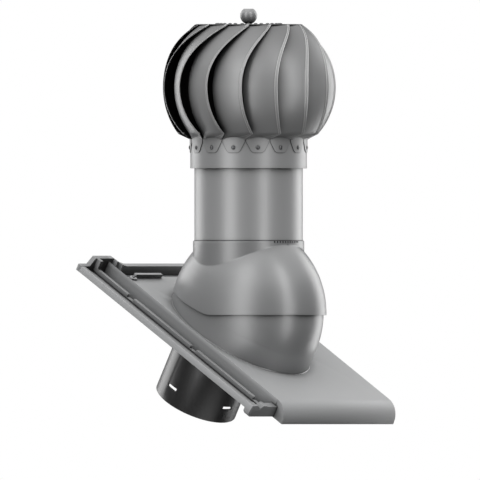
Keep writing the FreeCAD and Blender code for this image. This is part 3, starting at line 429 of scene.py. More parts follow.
FINISHES = (
    Finish("moulded_tile_grey", Slot.TILE, (0.40, 0.405, 0.41), (0.34, 0.345, 0.35), 0.5, grain_scale=700.0,
           grain_height=0.00008, streaks=0.1, crevice_shade=0.8, crevice_shade_reach=0.014, lock_shade=0.3, head_shade=0.9,
           edge_highlight=1.0, edge_highlight_tone=1.0),
    Finish("moulded_dome_grey", Slot.DOME, (0.28, 0.283, 0.287), (0.25, 0.253, 0.257), 0.36, specular=1.0,
           crevice_shade=1.0, crevice_shade_reach=0.028, seam_shade=1.5, edge_highlight=0.2),
    Finish("drawn_neck_grey", Slot.NECK, (0.4, 0.403, 0.407), (0.37, 0.373, 0.377), 0.37, streaks=0.2,
           specular=1.0, seam_shade=1.9),
    Finish("turbine_paint_grey", Slot.TURBINE, (0.33, 0.332, 0.335), (0.3, 0.302, 0.305), 0.42, dust=0.01,
           specular=1.0, inner_shade=0.9, crevice_shade=1.2, crevice_shade_reach=0.025, seam_shade=1.6, edge_highlight=0.9,
           edge_highlight_tone=0.75, crown_shade=0.8),
    Finish("moulded_duct_black", Slot.DUCT, (0.02, 0.02, 0.021), (0.026, 0.026, 0.026), 0.36,
           roughness_spread=0.05, streaks=0.05, dust=0.03, specular=1.0),
    Finish("seal_rubber_black", Slot.SEAL, (0.02, 0.02, 0.02), (0.035, 0.035, 0.035), 0.75, dust=0.05),
    Finish("rivet_dull_steel", Slot.RIVET, (0.13, 0.132, 0.135), (0.1, 0.102, 0.105), 0.3, metallic=0.6,
           mottle_scale=200.0, grain_scale=3000.0),
    Finish("zinc_plated_steel", Slot.ZINC, (0.62, 0.63, 0.64), (0.5, 0.5, 0.49), 0.35, metallic=1.0,
           mottle_scale=80.0),
    Finish("ground_bearing_steel", Slot.BEARING, (0.7, 0.7, 0.71), (0.6, 0.6, 0.61), 0.18, metallic=1.0,
           mottle_scale=120.0),
)


class Paintbox:
    """Builds each finish once and dresses pieces with it."""

    def __init__(self) -> None:
        """Build the shared groups and every material."""
        trees = (surface_wear_group(), settled_dust_group(), inner_side_group(), crevice_shade_group(),
                 placed_shade_group())
        groups = {tree.name: tree for tree in trees}
        self.materials = {finish.slot: finish.build(groups) for finish in FINISHES}

    def dress(self, piece: Piece, slot: Slot) -> None:
        """Give a piece one finish."""
        piece.data.materials.clear()
        piece.data.materials.append(self.materials[slot])

    def dress_frame(self) -> None:
        """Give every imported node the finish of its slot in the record."""
        slots = {entry["node"]: Slot(entry["material_slot"]) for entry in frame["record"]["subparts"]}
        for name, node in frame["nodes"].items():
            self.dress(node, slots[name])

    def finish(self, piece: Piece, body: Body, slot: Slot, nodes: Sequence[str] = (),
               look: Slot | None = None) -> None:
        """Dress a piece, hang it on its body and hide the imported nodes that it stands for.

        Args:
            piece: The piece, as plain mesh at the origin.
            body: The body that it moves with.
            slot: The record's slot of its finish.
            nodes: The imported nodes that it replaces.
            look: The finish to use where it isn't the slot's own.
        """
        self.dress(piece, look or slot)
        if nodes:
            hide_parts(*nodes)
        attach(piece, body.value)
        log.info("%s: %d faces on %s", piece.name, len(piece.data.polygons), body.value)


# Mesh tools


def put_in_scene(name: str, data: bpy.types.ID) -> Piece:
    """Make an object and link it to the scene.

    Args:
        name: The object's name.
        data: Its mesh, lamp or camera.

    Returns:
        The new object.
    """
    item = bpy.data.objects.new(name, data)
    bpy.context.scene.collection.objects.link(item)
    return item


def plain_mesh(name: str, points: Sequence[Sequence[float]], faces: Sequence[Sequence[int]]) -> Piece:
    """Make a mesh object.

    Args:
        name: The object's name.
        points: Its corners.
        faces: The corners of each face.

    Returns:
        The new object.
    """
    mesh = bpy.data.meshes.new(name)
    mesh.from_pydata(points, [], faces)
    mesh.update()
    return put_in_scene(name, mesh)


def sheet_mesh(name: str, rows: np.ndarray, wrap: bool = False) -> Piece:
    """Make a sheet of four-sided faces through rows of points.

    Args:
        name: The new object's name.
        rows: Points as an array of rows, columns and three coordinates.
        wrap: Whether each row closes on itself.

    Returns:
        The new object, linked to the scene.
    """
    lines, columns = rows.shape[:2]
    last = columns if wrap else columns - 1
    faces = [
        (line * columns + column, line * columns + (column + 1) % columns,
         (line + 1) * columns + (column + 1) % columns, (line + 1) * columns + column)
        for line in range(lines - 1) for column in range(last)
    ]
    return plain_mesh(name, rows.reshape(-1, 3).tolist(), faces)


def thicken(piece: Piece, centre: np.ndarray, wall: float, soft: float) -> None:
    """Give an open sheet its wall and soften the wall's edges.

    Args:
        piece: The sheet.
        centre: The point that the sheet faces away from.
        wall: Wall thickness, towards that point.
        soft: Width of the softened edges.
    """
    shape = bmesh.new()
    shape.from_mesh(piece.data)
    bmesh.ops.remove_doubles(shape, verts=shape.verts, dist=MERGE_GAP)
    bmesh.ops.recalc_face_normals(shape, faces=shape.faces)
    middle = Vector(centre)
    away = sum(f.calc_area() * f.normal.dot(f.calc_center_median() - middle) for f in shape.faces)
    if away < 0:
        bmesh.ops.reverse_faces(shape, faces=shape.faces)
    shape.to_mesh(piece.data)
    shape.free()
    solid = piece.modifiers.new("wall", "SOLIDIFY")
    solid.thickness = wall
    solid.offset = -1.0
    solid.use_even_offset = True
    soften(piece, soft, limit=50.0)
    settle(piece)


def settle(piece: Piece) -> Piece:
    """Turn a piece's modifiers into plain mesh and smooth its round faces.

    Args:
        piece: The piece with its modifiers.

    Returns:
        The same piece.
    """
    graph = bpy.context.evaluated_depsgraph_get()
    mesh = bpy.data.meshes.new_from_object(piece.evaluated_get(graph))
    piece.modifiers.clear()
    piece.data = mesh
    mesh.shade_smooth()
    mesh.set_sharp_from_angle(angle=CREASE)
    return piece


def soften(piece: Piece, width: float, limit: float = 30.0) -> None:
    """Add a small rounded edge.

    Args:
        piece: The piece to soften.
        width: Width of the rounding.
        limit: Edges that turn by less than this many degrees are left.
    """
    edge = piece.modifiers.new("soft_edge", "BEVEL")
    edge.width = width
    edge.segments = 2
    edge.limit_method = "ANGLE"
    edge.angle_limit = math.radians(limit)


def softened_copy(node: str, name: str, soft: float) -> Piece:
    """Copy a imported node, merge its triangles and soften its edges.

    Args:
        node: The node's name.
        name: The new piece's name.
        soft: Width of the softened edges.

    Returns:
        The new piece.
    """
    mesh = frame["nodes"][node].data.copy()
    piece = put_in_scene(name, mesh)
    shape = bmesh.new()
    shape.from_mesh(mesh)
    bmesh.ops.remove_doubles(shape, verts=shape.verts, dist=2 * MERGE_GAP)
    bmesh.ops.dissolve_limit(shape, angle_limit=math.radians(1), verts=shape.verts, edges=shape.edges)
    # Faces of the softened edges are marked for the painted edge highlight
    highlight_layer = shape.faces.layers.float.new(EDGE_HIGHLIGHT)
    sharp = [edge for edge in shape.edges if edge.is_convex and edge.calc_face_angle(0.0) > CREASE]
    made = bmesh.ops.bevel(shape, geom=sharp, offset=soft, segments=2, profile=0.5, affect="EDGES",
                           clamp_overlap=True)
    for face in made["faces"]:
        face[highlight_layer] = 1.0
    log.info("%s: %d edges softened", name, len(sharp))
    shape.to_mesh(mesh)
    shape.free()
    return settle(piece)


def box_mesh(name: str, low: Sequence[float], high: Sequence[float]) -> Piece:
    """Make a plain box between two corners.

    Args:
        name: The new piece's name.
        low: The lowest corner.
        high: The highest corner.

    Returns:
        The new piece.
    """
    (x0, y0, z0), (x1, y1, z1) = low, high
    ring = [(x0, y0), (x1, y0), (x1, y1), (x0, y1)]
    corners = [(x, y, z0) for x, y in ring] + [(x, y, z1) for x, y in ring]
    sides = [(i, (i + 1) % 4, (i + 1) % 4 + 4, i + 4) for i in range(4)]
    return plain_mesh(name, corners, [(3, 2, 1, 0), (4, 5, 6, 7)] + sides)


def turned_mesh(name: str, profile: Pairs, steps: int, origin: np.ndarray = DOME_CENTRE) -> Piece:
    """Make a closed body of revolution about the upright axis.

    Args:
        name: The new piece's name.
        profile: Radii and heights of the closed outline, about the origin.
        steps: Faces round the axis.
        origin: The point on the axis that the heights start from.

    Returns:
        The new piece, smoothed.
    """
    angles = np.linspace(0, 2 * math.pi, steps, endpoint=False)
    closed = list(profile) + [profile[0]]
    rows = np.array([[(r * math.cos(a), r * math.sin(a), z) for a in angles] for r, z in closed]) + origin
    piece = sheet_mesh(name, rows, wrap=True)
    shape = bmesh.new()
    shape.from_mesh(piece.data)
    bmesh.ops.remove_doubles(shape, verts=shape.verts, dist=MERGE_GAP)
    bmesh.ops.dissolve_degenerate(shape, edges=shape.edges, dist=TINY_EDGE)
    bmesh.ops.recalc_face_normals(shape, faces=shape.faces)
    shape.to_mesh(piece.data)
    shape.free()
    return settle(piece)


def polar_tree(name: str) -> Tree:
    """Build the geometry tree that repeats a piece round the upright axis.

    Args:
        name: The tree's name.

    Returns:
        A tree with the inputs Count, First Angle, Step Angle, Centre and Finish.
    """
    tree = bpy.data.node_groups.new(name, "GeometryNodeTree")
    sockets = (("Geometry", "NodeSocketGeometry"), ("Count", "NodeSocketInt"), ("First Angle", "NodeSocketFloat"),
               ("Step Angle", "NodeSocketFloat"), ("Centre", "NodeSocketVector"), ("Finish", "NodeSocketMaterial"))
    for label, kind in sockets:
        tree.interface.new_socket(label, in_out="INPUT", socket_type=kind)
    tree.interface.new_socket("Geometry", in_out="OUTPUT", socket_type="NodeSocketGeometry")
    wires = Wiring(tree)
    source = wires.add("NodeGroupInput").outputs
    line = wires.add("GeometryNodeMeshLine", {"Count": source["Count"], "Start Location": source["Centre"],
                                              "Offset": (0.0, 0.0, 0.0)}, mode="OFFSET")
    index = wires.add("GeometryNodeInputIndex").outputs[0]
    turn = wires.math("MULTIPLY_ADD", index, source["Step Angle"], source["First Angle"])
    axis = wires.add("ShaderNodeCombineXYZ", {"Z": turn})
    spin = wires.add("FunctionNodeEulerToRotation", {"Euler": axis.outputs["Vector"]})
    copies = wires.add("GeometryNodeInstanceOnPoints", {
        "Points": line.outputs["Mesh"], "Instance": source["Geometry"], "Rotation": spin.outputs["Rotation"]})
    real = wires.add("GeometryNodeRealizeInstances", {"Geometry": copies.outputs["Instances"]})
    paint = wires.add("GeometryNodeSetMaterial", {"Geometry": real.outputs["Geometry"], "Material": source["Finish"]})
    wires.add("NodeGroupOutput", {"Geometry": paint.outputs["Geometry"]})
    return tree


@dataclass
class Ring:
    """A piece repeated round the turbine's axis, by degrees."""

    count: int
    first: float
    step: float

    def repeat(self, piece: Piece, material: bpy.types.Material) -> Piece:
        """Repeat a piece that is modelled about the origin.

        Args:
            piece: The single piece.
            material: The finish of the copies.

        Returns:
            The same object, now holding every copy as plain mesh.
        """
        tree = bpy.data.node_groups.get("polar_repeat") or polar_tree("polar_repeat")
        modifier = piece.modifiers.new("repeat", "NODES")
        modifier.node_group = tree
        values = {"Count": self.count, "First Angle": math.radians(self.first), "Step Angle": math.radians(self.step),
                  "Centre": tuple(DOME_CENTRE), "Finish": material}
        for item in tree.interface.items_tree:
            if item.in_out == "INPUT" and item.name in values:
                modifier[item.identifier] = values[item.name]
        return settle(piece)


# The ventilator's pieces


@dataclass
class Turbine:
    """The spinning head: vanes, top plate, collar ring, rivets and ball."""

    paint: Paintbox
    vane_count: int = 15
    vane_phase: float = 18.0
    sheet: float = 0.001
    sheet_soft: float = 0.0002
    round_steps: int = 180
    globe_radius: float = 0.1283
    globe_half: float = 0.117
    globe_mid: float = 0.3336
    plate_top: float = 0.4266
    plate_radius: float = 0.0774
    plate_swell: float = 0.0002
    blade_foot: float = 0.2643
    blade_levels: int = 44
    blade_columns: int = 18
    blade_depth: float = 0.016
    blade_bulge: float = 0.0004
    depth_fade: float = 1.5
    bulge_fade: float = 2.0
    outer_edge: float = 10.5
    outer_swing: Pairs = ((27.0, 33.0), (16.0, 20.0))
    inner_edge: float = 13.3
    inner_swing: Pairs = ((22.0, 0.0), (12.0, 0.0))
    lip: float = 2.0
    lip_bend: float = 0.0009
    lip_highlight: float = 0.3
    bead: float = 0.0006
    bead_width: float = 0.45
    bead_fade: float = 1.6
    bead_shape: tuple[float, ...] = (0.75, 1.0, 0.75, 0.0)
    tab_top: float = 0.256
    tab_foot: float = 0.237
    tab_rivet: float = 0.2444
    tab_gap: float = 0.4
    tab_foot_share: float = 0.5
    tab_flare: float = 1.15
    tab_corner: float = 0.004
    tab_arch: float = 0.004
    tab_levels: tuple[float, ...] = (0.0, 0.02, 0.06, 0.12, 0.2, 0.4, 0.6, 0.8, 1.0)
    ring_radius: float = 0.086
    ring_low: float = 0.2137
    ring_roll: float = 0.0009
    ring_roll_out: float = 0.0001
    rivet_radius: float = 0.003
    rivet_height: float = 0.0016
    rivet_steps: int = 24
    plate_rivets: float = 0.047
    plate_rivet_shift: float = 0.6
    finial_radius: float = 0.0125
    finial_flat: float = 0.0104
    finial_sink: float = 0.0003
    finial_from: float = -1.35
    finial_rows: int = 40
    finial_steps: int = 64

    @property
    def vane_step(self) -> float:
        """Degrees from one vane to the next."""
        return 360 / self.vane_count

    def swing(self, share: float, up_and_down: Pairs) -> float:
        """Find how far an edge has swung back, by its square and fourth-power degrees above and below the middle."""
        square, fourth = up_and_down[0] if share > 0 else up_and_down[1]
        return square * share ** 2 + fourth * share ** 4

    def blade_row(self, height: float) -> np.ndarray:
        """Find the points of one level across a blade, with a bead on each side of its lip.

        Args:
            height: Height of the level over the dome centre.

        Returns:
            The points of the row, about the turbine's axis.
        """
        share = (height - self.globe_mid) / self.globe_half
        level = math.sqrt(1 - share ** 2)
        outer_r = self.globe_radius * level
        inner_r = outer_r - self.blade_depth * level ** self.depth_fade
        outer_at = self.outer_edge + self.swing(share, self.outer_swing)
        inner_at = -self.inner_edge + self.swing(share, self.inner_swing)
        lip_share = self.lip / (outer_at - inner_at)
        fold_at = outer_at - self.lip
        fold_r = outer_r - (outer_r - inner_r) * lip_share - self.lip_bend * level
        bulge = self.blade_bulge * level ** self.bulge_fade
        along = np.linspace(0, 1, self.blade_columns)
        radii = inner_r + (fold_r - inner_r) * along + bulge * 4 * along * (1 - along)
        angles = inner_at + (fold_at - inner_at) * along
        bead = self.bead_width / self.lip * np.linspace(0, 1, len(self.bead_shape) + 1)
        lip_along = np.concatenate([bead[1:], 1 - bead[::-1]])
        rise = self.bead * min(1.0, self.bead_fade * level) * np.array([*self.bead_shape, 0.0, *self.bead_shape])
        radii = np.append(radii, fold_r + (outer_r - fold_r) * lip_along + rise)
        angles = np.radians(np.append(angles, fold_at + self.lip * lip_along))
        return np.stack([radii * np.cos(angles), radii * np.sin(angles), np.full(len(radii), height)], axis=1)

    def tab_row(self, height: float, columns: int) -> np.ndarray:
        """Find the points of one level across the tab on the collar ring.

        Args:
            height: Height of the level over the dome centre.
            columns: Points across the tab.

        Returns:
            The points of the row, about the turbine's axis.
        """
        radius = self.ring_radius + self.sheet
        full = self.ring_radius * math.sin(math.radians(self.vane_step / 2 - self.tab_gap))
        foot = full * self.tab_foot_share
        low = height - self.tab_foot
        half = foot + (full - foot) * min(1.0, low / (self.tab_top - self.tab_foot) * self.tab_flare)
        if low < self.tab_corner:
            half -= self.tab_corner - math.sqrt(max(self.tab_corner ** 2 - (self.tab_corner - low) ** 2, 0.0))
        angles = np.linspace(-1, 1, columns) * half / self.ring_radius
        return np.stack([radius * np.cos(angles), radius * np.sin(angles), np.full(columns, height)], axis=1)

    def vane_sheet(self) -> Piece:
        """Make one vane from its tab to its top edge.

        Returns:
            The vane about the turbine's axis, as a thick sheet.
        """
        top = self.plate_top - self.sheet
        blade = [self.blade_row(self.blade_foot + t * (top - self.blade_foot))
                 for t in np.linspace(0, 1, self.blade_levels)]
        across = len(blade[0])
        tab = [self.tab_row(self.tab_foot + t * (self.tab_top - self.tab_foot), across) for t in self.tab_levels]
        tab[-1][:, 2] += self.tab_arch * (1 - np.linspace(-1, 1, across) ** 2)
        rows = np.array(tab + blade)
        vane = sheet_mesh("vane_set", rows)
        # The lip strip, and most of all its two beads, is marked for the painted highlight, as if the folds caught the
        # light
        edge = vane.data.attributes.new(EDGE_HIGHLIGHT, "FLOAT", "POINT")
        wear_and_highlight = np.zeros(rows.shape[:2])
        wear_and_highlight[len(tab):, self.blade_columns:] = self.lip_highlight
        wear_and_highlight[len(tab):, self.blade_columns:self.blade_columns + 3] = 1.0
        wear_and_highlight[len(tab):, -4:-1] = 1.0
        edge.data.foreach_set("value", wear_and_highlight.ravel())
        thicken(vane, np.array([0.0, 0.0, self.globe_mid]), self.sheet, self.sheet_soft)
        return vane

    def repeat(self, piece: Piece, slot: Slot, nodes: Sequence[str], shift: float = 0.0) -> None:
        """Repeat a piece once for each vane.

        Args:
            piece: The single piece, about the turbine's axis.
            slot: The finish of the copies.
            nodes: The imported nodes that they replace.
            shift: How far to turn them, as a share of the step between vanes.
        """
        ring = Ring(self.vane_count, self.vane_phase + shift * self.vane_step, self.vane_step)
        ring.repeat(piece, self.paint.materials[slot])
        self.paint.finish(piece, Body.ROTOR, slot, nodes)

    def rivet(self, name: str) -> Piece:
        """Make one domed rivet head that stands up at the origin.

        Args:
            name: The piece's name.

        Returns:
            The rivet head.
        """
        sunk = -self.rivet_height
        dome = [(self.rivet_radius * math.cos(a), self.rivet_height * math.sin(a))
                for a in np.linspace(0, math.pi / 2, 7)]
        return turned_mesh(name, [(0.0, sunk), (self.rivet_radius, sunk)] + dome, self.rivet_steps, np.zeros(3))

    def rivets(self) -> None:
        """Make the rivets of the top plate and of the collar ring."""
        top = self.rivet("plate_rivet_heads")
        top.data.transform(Matrix.Translation((self.plate_rivets, 0, self.plate_top)))
        self.repeat(top, Slot.RIVET, ["plate_rivets"], self.plate_rivet_shift)
        side = self.rivet("collar_rivet_heads")
        spot = Matrix.Translation((self.ring_radius + self.sheet, 0, self.tab_rivet))
        side.data.transform(spot @ Matrix.Rotation(math.pi / 2, 4, "Y"))
        self.repeat(side, Slot.RIVET, ["collar_rivets"])

    def band(self) -> None:
        """Make the collar ring with its rolled lower edge."""
        outer, inner, roll = self.ring_radius, self.ring_radius - self.sheet, self.ring_roll
        edge = [(outer + self.ring_roll_out - roll + roll * math.cos(a), self.ring_low + roll + roll * math.sin(a))
                for a in np.linspace(0, -math.pi, 9)]
        profile = [(outer, self.tab_top)] + edge + [(inner, self.tab_top)]
        band = turned_mesh("collar_band", profile, self.round_steps)
        self.paint.finish(band, Body.ROTOR, Slot.NECK, ["collar_ring"])

    def plate_and_ball(self) -> None:
        """Make the top plate and the finial ball, which is flat on top."""
        top, low, edge, swell = self.plate_top, self.plate_top - self.sheet, self.plate_radius, self.plate_swell
        rim = [(edge + swell, top - 3 * swell), (edge, top - swell), (edge - 2 * swell, top)]
        plate = turned_mesh("head_plate", [(0.0, low), (edge, low)] + rim + [(0.0, top)], self.round_steps)
        self.paint.finish(plate, Body.ROTOR, Slot.TURBINE, ["top_plate"])
        radius, centre = self.finial_radius, top + self.finial_radius - self.finial_sink
        side = [(radius * math.cos(a), centre + min(radius * math.sin(a), self.finial_flat))
                for a in np.linspace(self.finial_from, math.pi / 2, self.finial_rows)]
        profile = [(0.0, top), (side[0][0], top)] + side[:-1] + [(0.0, side[-1][1])]
        ball = turned_mesh("finial", profile, self.finial_steps)
        self.paint.finish(ball, Body.ROTOR, Slot.TURBINE, ["finial_ball"], Slot.DOME)

    def build(self) -> None:
        """Make every piece of the spinning head."""
        vanes = [name for name in frame["nodes"] if name.startswith("vane_")]
        self.repeat(self.vane_sheet(), Slot.TURBINE, vanes)
        self.rivets()
        self.band()
        self.plate_and_ball()


def bisect(low: np.ndarray, high: np.ndarray, inside: Callable[[np.ndarray], np.ndarray]) -> np.ndarray:
    """Find where a condition ends, for a whole row at once.

    Args:
        low: Values where the condition holds.
        high: Values where it doesn't.
        inside: Tells for each value whether the condition holds.

    Returns:
        The values at the change.
    """
    for _ in range(HALVINGS):
        middle = (low + high) / 2
        holds = inside(middle)
        low = np.where(holds, middle, low)
        high = np.where(holds, high, middle)
    return (low + high) / 2


def ball_points(angles: np.ndarray, lifts: np.ndarray, radius: float, half: float) -> np.ndarray:
    """Find points of a ball that is squeezed along the tilt axis.

    Args:
        angles: Directions round the upright axis.
        lifts: Elevations.
        radius: The ball's radius across the tilt axis.
        half: Its half width along the tilt axis.

    Returns:
        The points about the ball's centre.
    """
    x, y, z = np.cos(lifts) * np.cos(angles), np.cos(lifts) * np.sin(angles), np.sin(lifts)
    reach = 1 / np.sqrt((x / half) ** 2 + (y ** 2 + z ** 2) / radius ** 2)
    return np.stack([x, y, z], axis=-1) * reach[..., None]


@dataclass
class BallDome:
    """The two ball shells, squeezed along the tilt axis."""

    paint: Paintbox
    columns: int = 240
    cap_radius: float = 0.130
    cap_half: float = 0.0975
    cap_wall: float = 0.002
    cap_soft: float = 0.0005
    cap_rows: int = 40
    rim_drop: float = 0.003
    rim_break: float = 0.008
    rim_lean: float = 20.0
    rim_blend: float = 0.0106
    rim_search: tuple[float, float] = (-0.3, 1.2)
    collar_radius: float = 0.0821
    collar_top: float = 0.1065
    collar_rows: int = 9
    collar_search: tuple[float, float] = (0.3, 1.55)
    junction: float = 0.0015
    junction_rows: int = 7
    notch_count: int = 11
    notch_pitch: float = 3.4
    notch_width: float = 0.0022
    notch_height: float = 0.0028
    notch_in: float = 0.0035
    notch_out: float = 0.002
    notch_over: float = 0.001
    mark_height: float = 0.009
    mark_down: float = 0.005
    mark_out: float = 0.001
    mark_in: float = 0.0005
    mark_soft: float = 0.0003
    shade_ring_in: float = 0.0021
    shade_ring_out: float = 0.0012
    shade_ring_low: float = 0.0034
    shade_ring_high: float = 0.0008
    shade_ring_soft: float = 0.0003
    shade_ring_steps: int = 160
    base_radius: float = 0.1255
    base_half: float = 0.0935
    base_wall: float = 0.0028
    base_soft: float = 0.0004
    base_rows: int = 30
    base_height: float = 0.032
    wall_rows: int = 6
    foot: float = 0.0015
    foot_rows: int = 9
    opening_lean: float = 10.0
    opening_half: float = 0.074
    opening_reach: float = 0.1087
    opening_search: float = 1.3

    @property
    def angles(self) -> np.ndarray:
        """Directions of the columns round the upright axis."""
        return np.linspace(0, 2 * math.pi, self.columns, endpoint=False)

    def rim_height(self, along: np.ndarray) -> np.ndarray:
        """Find the height of the cap's rim.

        Args:
            along: Places along the slope.

        Returns:
            The height at each place.
        """
        past = along + self.rim_break
        blend = np.clip(past + self.rim_blend, 0, 2 * self.rim_blend) ** 2 / (4 * self.rim_blend)
        ramp = np.where(past > self.rim_blend, past, blend)
        return -self.rim_drop + ramp * math.tan(math.radians(self.rim_lean))

    def cap(self) -> None:
        """Make the upper shell with its collar and rounded junction."""

        def ball(lifts: np.ndarray) -> np.ndarray:
            """Find one point in each column of the cap's ball."""
            return ball_points(self.angles, lifts, self.cap_radius, self.cap_half)

        flat = np.zeros(self.columns)
        low, high = (flat + lift for lift in self.rim_search)
        rim = bisect(low, high, lambda v: ball(v)[:, 2] < self.rim_height(ball(v)[:, 1]))
        low, high = (flat + lift for lift in self.collar_search)
        edge = bisect(low, high, lambda v: np.hypot(*ball(v)[:, :2].T) > self.collar_radius)
        join = ball(edge)
        before = bisect(low, edge, lambda v: np.linalg.norm(ball(v) - join, axis=1) > self.junction)
        rows = [ball(rim + (before - rim) * t) for t in np.linspace(0, 1, self.cap_rows)]
        after = join + np.array([0, 0, self.junction])
        for t in np.linspace(0, 1, self.junction_rows)[1:]:
            rows.append(ball(before) * (1 - t) ** 2 + join * 2 * t * (1 - t) + after * t ** 2)
        for t in np.linspace(0, 1, self.collar_rows)[1:]:
            level = after.copy()
            level[:, 2] += (self.collar_top - after[:, 2]) * t
            rows.append(level)
        shell = sheet_mesh("dome_upper_shell", np.array(rows) + DOME_CENTRE, wrap=True)
        thicken(shell, DOME_CENTRE, self.cap_wall, self.cap_soft)
        self.notch(shell)
        self.paint.finish(shell, Body.CAP, Slot.DOME, ["dome_cap"])

    def notch(self, shell: Piece) -> None:
        """Cut the short row of notches into the collar's top edge.

        Args:
            shell: The upper shell.
        """
        half = self.notch_width / 2
        low = (self.collar_radius - self.notch_in, -half, self.collar_top - self.notch_height)
        high = (self.collar_radius + self.notch_out, half, self.collar_top + self.notch_over)
        cutter = box_mesh("notch_cutter", low, high)
        first = -90 - self.notch_pitch * (self.notch_count - 1) / 2
        Ring(self.notch_count, first, self.notch_pitch).repeat(cutter, self.paint.materials[Slot.DOME])
        cut = shell.modifiers.new("notches", "BOOLEAN")
        cut.operation = "DIFFERENCE"
        cut.object = cutter
        settle(shell)
        bpy.data.objects.remove(cutter)

    def mark(self) -> None:
        """Make the small upright rib on the collar that shows the front."""
        top = self.collar_top - self.mark_down
        half = self.notch_width / 2
        rib = box_mesh("front_mark", (-half, -self.collar_radius - self.mark_out, top - self.mark_height),
                       (half, -self.collar_radius + self.mark_in, top))
        rib.data.transform(Matrix.Translation(DOME_CENTRE))
        soften(rib, self.mark_soft)
        self.paint.finish(settle(rib), Body.CAP, Slot.DOME)

    def shade_ring(self) -> None:
        """Make a thin black ring between the collar and the neck, painted shade for the dark line where they meet."""
        inner, outer = self.collar_radius - self.shade_ring_in, self.collar_radius - self.shade_ring_out
        low, high = self.collar_top - self.shade_ring_low, self.collar_top + self.shade_ring_high
        corner = [(outer, high - self.shade_ring_soft), (outer - self.shade_ring_soft, high)]
        lip = turned_mesh("collar_shade_ring", [(inner, low), (outer, low)] + corner + [(inner, high)], self.shade_ring_steps)
        self.paint.finish(lip, Body.CAP, Slot.SEAL)

    def base(self) -> None:
        """Make the lower shell on the tile, up to its edge inside the cap."""
        angles = self.angles
        ring = np.stack([self.base_half * np.cos(angles), self.base_radius * np.sin(angles)], axis=1)
        out = np.stack([np.cos(angles) / self.base_half, np.sin(angles) / self.base_radius], axis=1)
        out /= np.linalg.norm(out, axis=1)[:, None]
        rows = []
        for t in np.linspace(0, math.pi / 2, self.foot_rows):
            level = ring + out * self.foot * (1 - math.sin(t))
            rows.append(np.column_stack([level, np.full(self.columns, self.foot * (1 - math.cos(t)))]))
        for height in np.linspace(self.foot, self.base_height, self.wall_rows)[1:]:
            rows.append(np.column_stack([ring, np.full(self.columns, height)]))
        lean = math.radians(self.opening_lean) - ROOF_PITCH
        axis = np.array([0, -math.sin(lean), math.cos(lean)])
        side = np.array([0, math.cos(lean), math.sin(lean)])

        def ball(lifts: np.ndarray) -> np.ndarray:
            """Find one point in each column of the base's ball."""
            return ball_points(angles, lifts, self.base_radius, self.base_half)

        def below_opening(lifts: np.ndarray) -> np.ndarray:
            """Tell which points of the base's ball lie outside its opening."""
            x, y = ball(lifts)[:, 0] / self.opening_half, ball(lifts) @ side / self.opening_reach
            return (x ** 2 + y ** 2 > 1) | (ball(lifts) @ axis < 0)

        flat = np.zeros(self.columns)
        top = bisect(flat, flat + self.opening_search, below_opening)
        lift = np.array([0, 0, self.base_height])
        rows += [ball(top * t) + lift for t in np.linspace(0, 1, self.base_rows)[1:]]
        tilt = np.array(Matrix.Rotation(ROOF_PITCH, 3, "X"))
        foot = DOME_CENTRE - tilt @ lift
        shell = sheet_mesh("dome_lower_shell", np.array(rows) @ tilt.T + foot, wrap=True)
        thicken(shell, DOME_CENTRE, self.base_wall, self.base_soft)
        self.paint.finish(shell, Body.TILE, Slot.DOME, ["dome_base"])

    def build(self) -> None:
        """Make both shells with the collar's mark and its black ring of painted shade."""
        self.cap()
        self.mark()
        self.shade_ring()
        self.base()


@dataclass
class Neck:
    """The round neck between dome and turbine."""

    paint: Paintbox
    radius: float = 0.080
    wall: float = 0.002
    low: float = 0.090
    high: float = 0.236
    steps: int = 200

    def build(self) -> None:
        """Make the neck tube."""
        inner = self.radius - self.wall
        profile = [(self.radius, self.low), (self.radius, self.high), (inner, self.high), (inner, self.low)]
        tube = turned_mesh("neck_pipe", profile, self.steps)
        self.paint.finish(tube, Body.CAP, Slot.NECK, ["neck_tube"])


@dataclass
class RoofPlate:
    """The roof tile and the spigot under it."""

    paint: Paintbox
    soft: float = 0.0008

    def build(self) -> None:
        """Make the tile and the spigot with softened edges."""
        for node, name, slot in (("roof_tile", "moulded_tile", Slot.TILE),
                                 ("duct_spigot", "moulded_spigot", Slot.DUCT)):
            self.paint.finish(softened_copy(node, name, self.soft), Body.TILE, slot, [node])


# The studio


@dataclass(frozen=True)
class Lamp:
    """One soft box, by its direction from the ventilator as the camera sees it."""

    name: str
    to_right: float
    lift: float
    wide: float
    high: float
    power: float
    plain: bool = False
    distance: float = 2.0


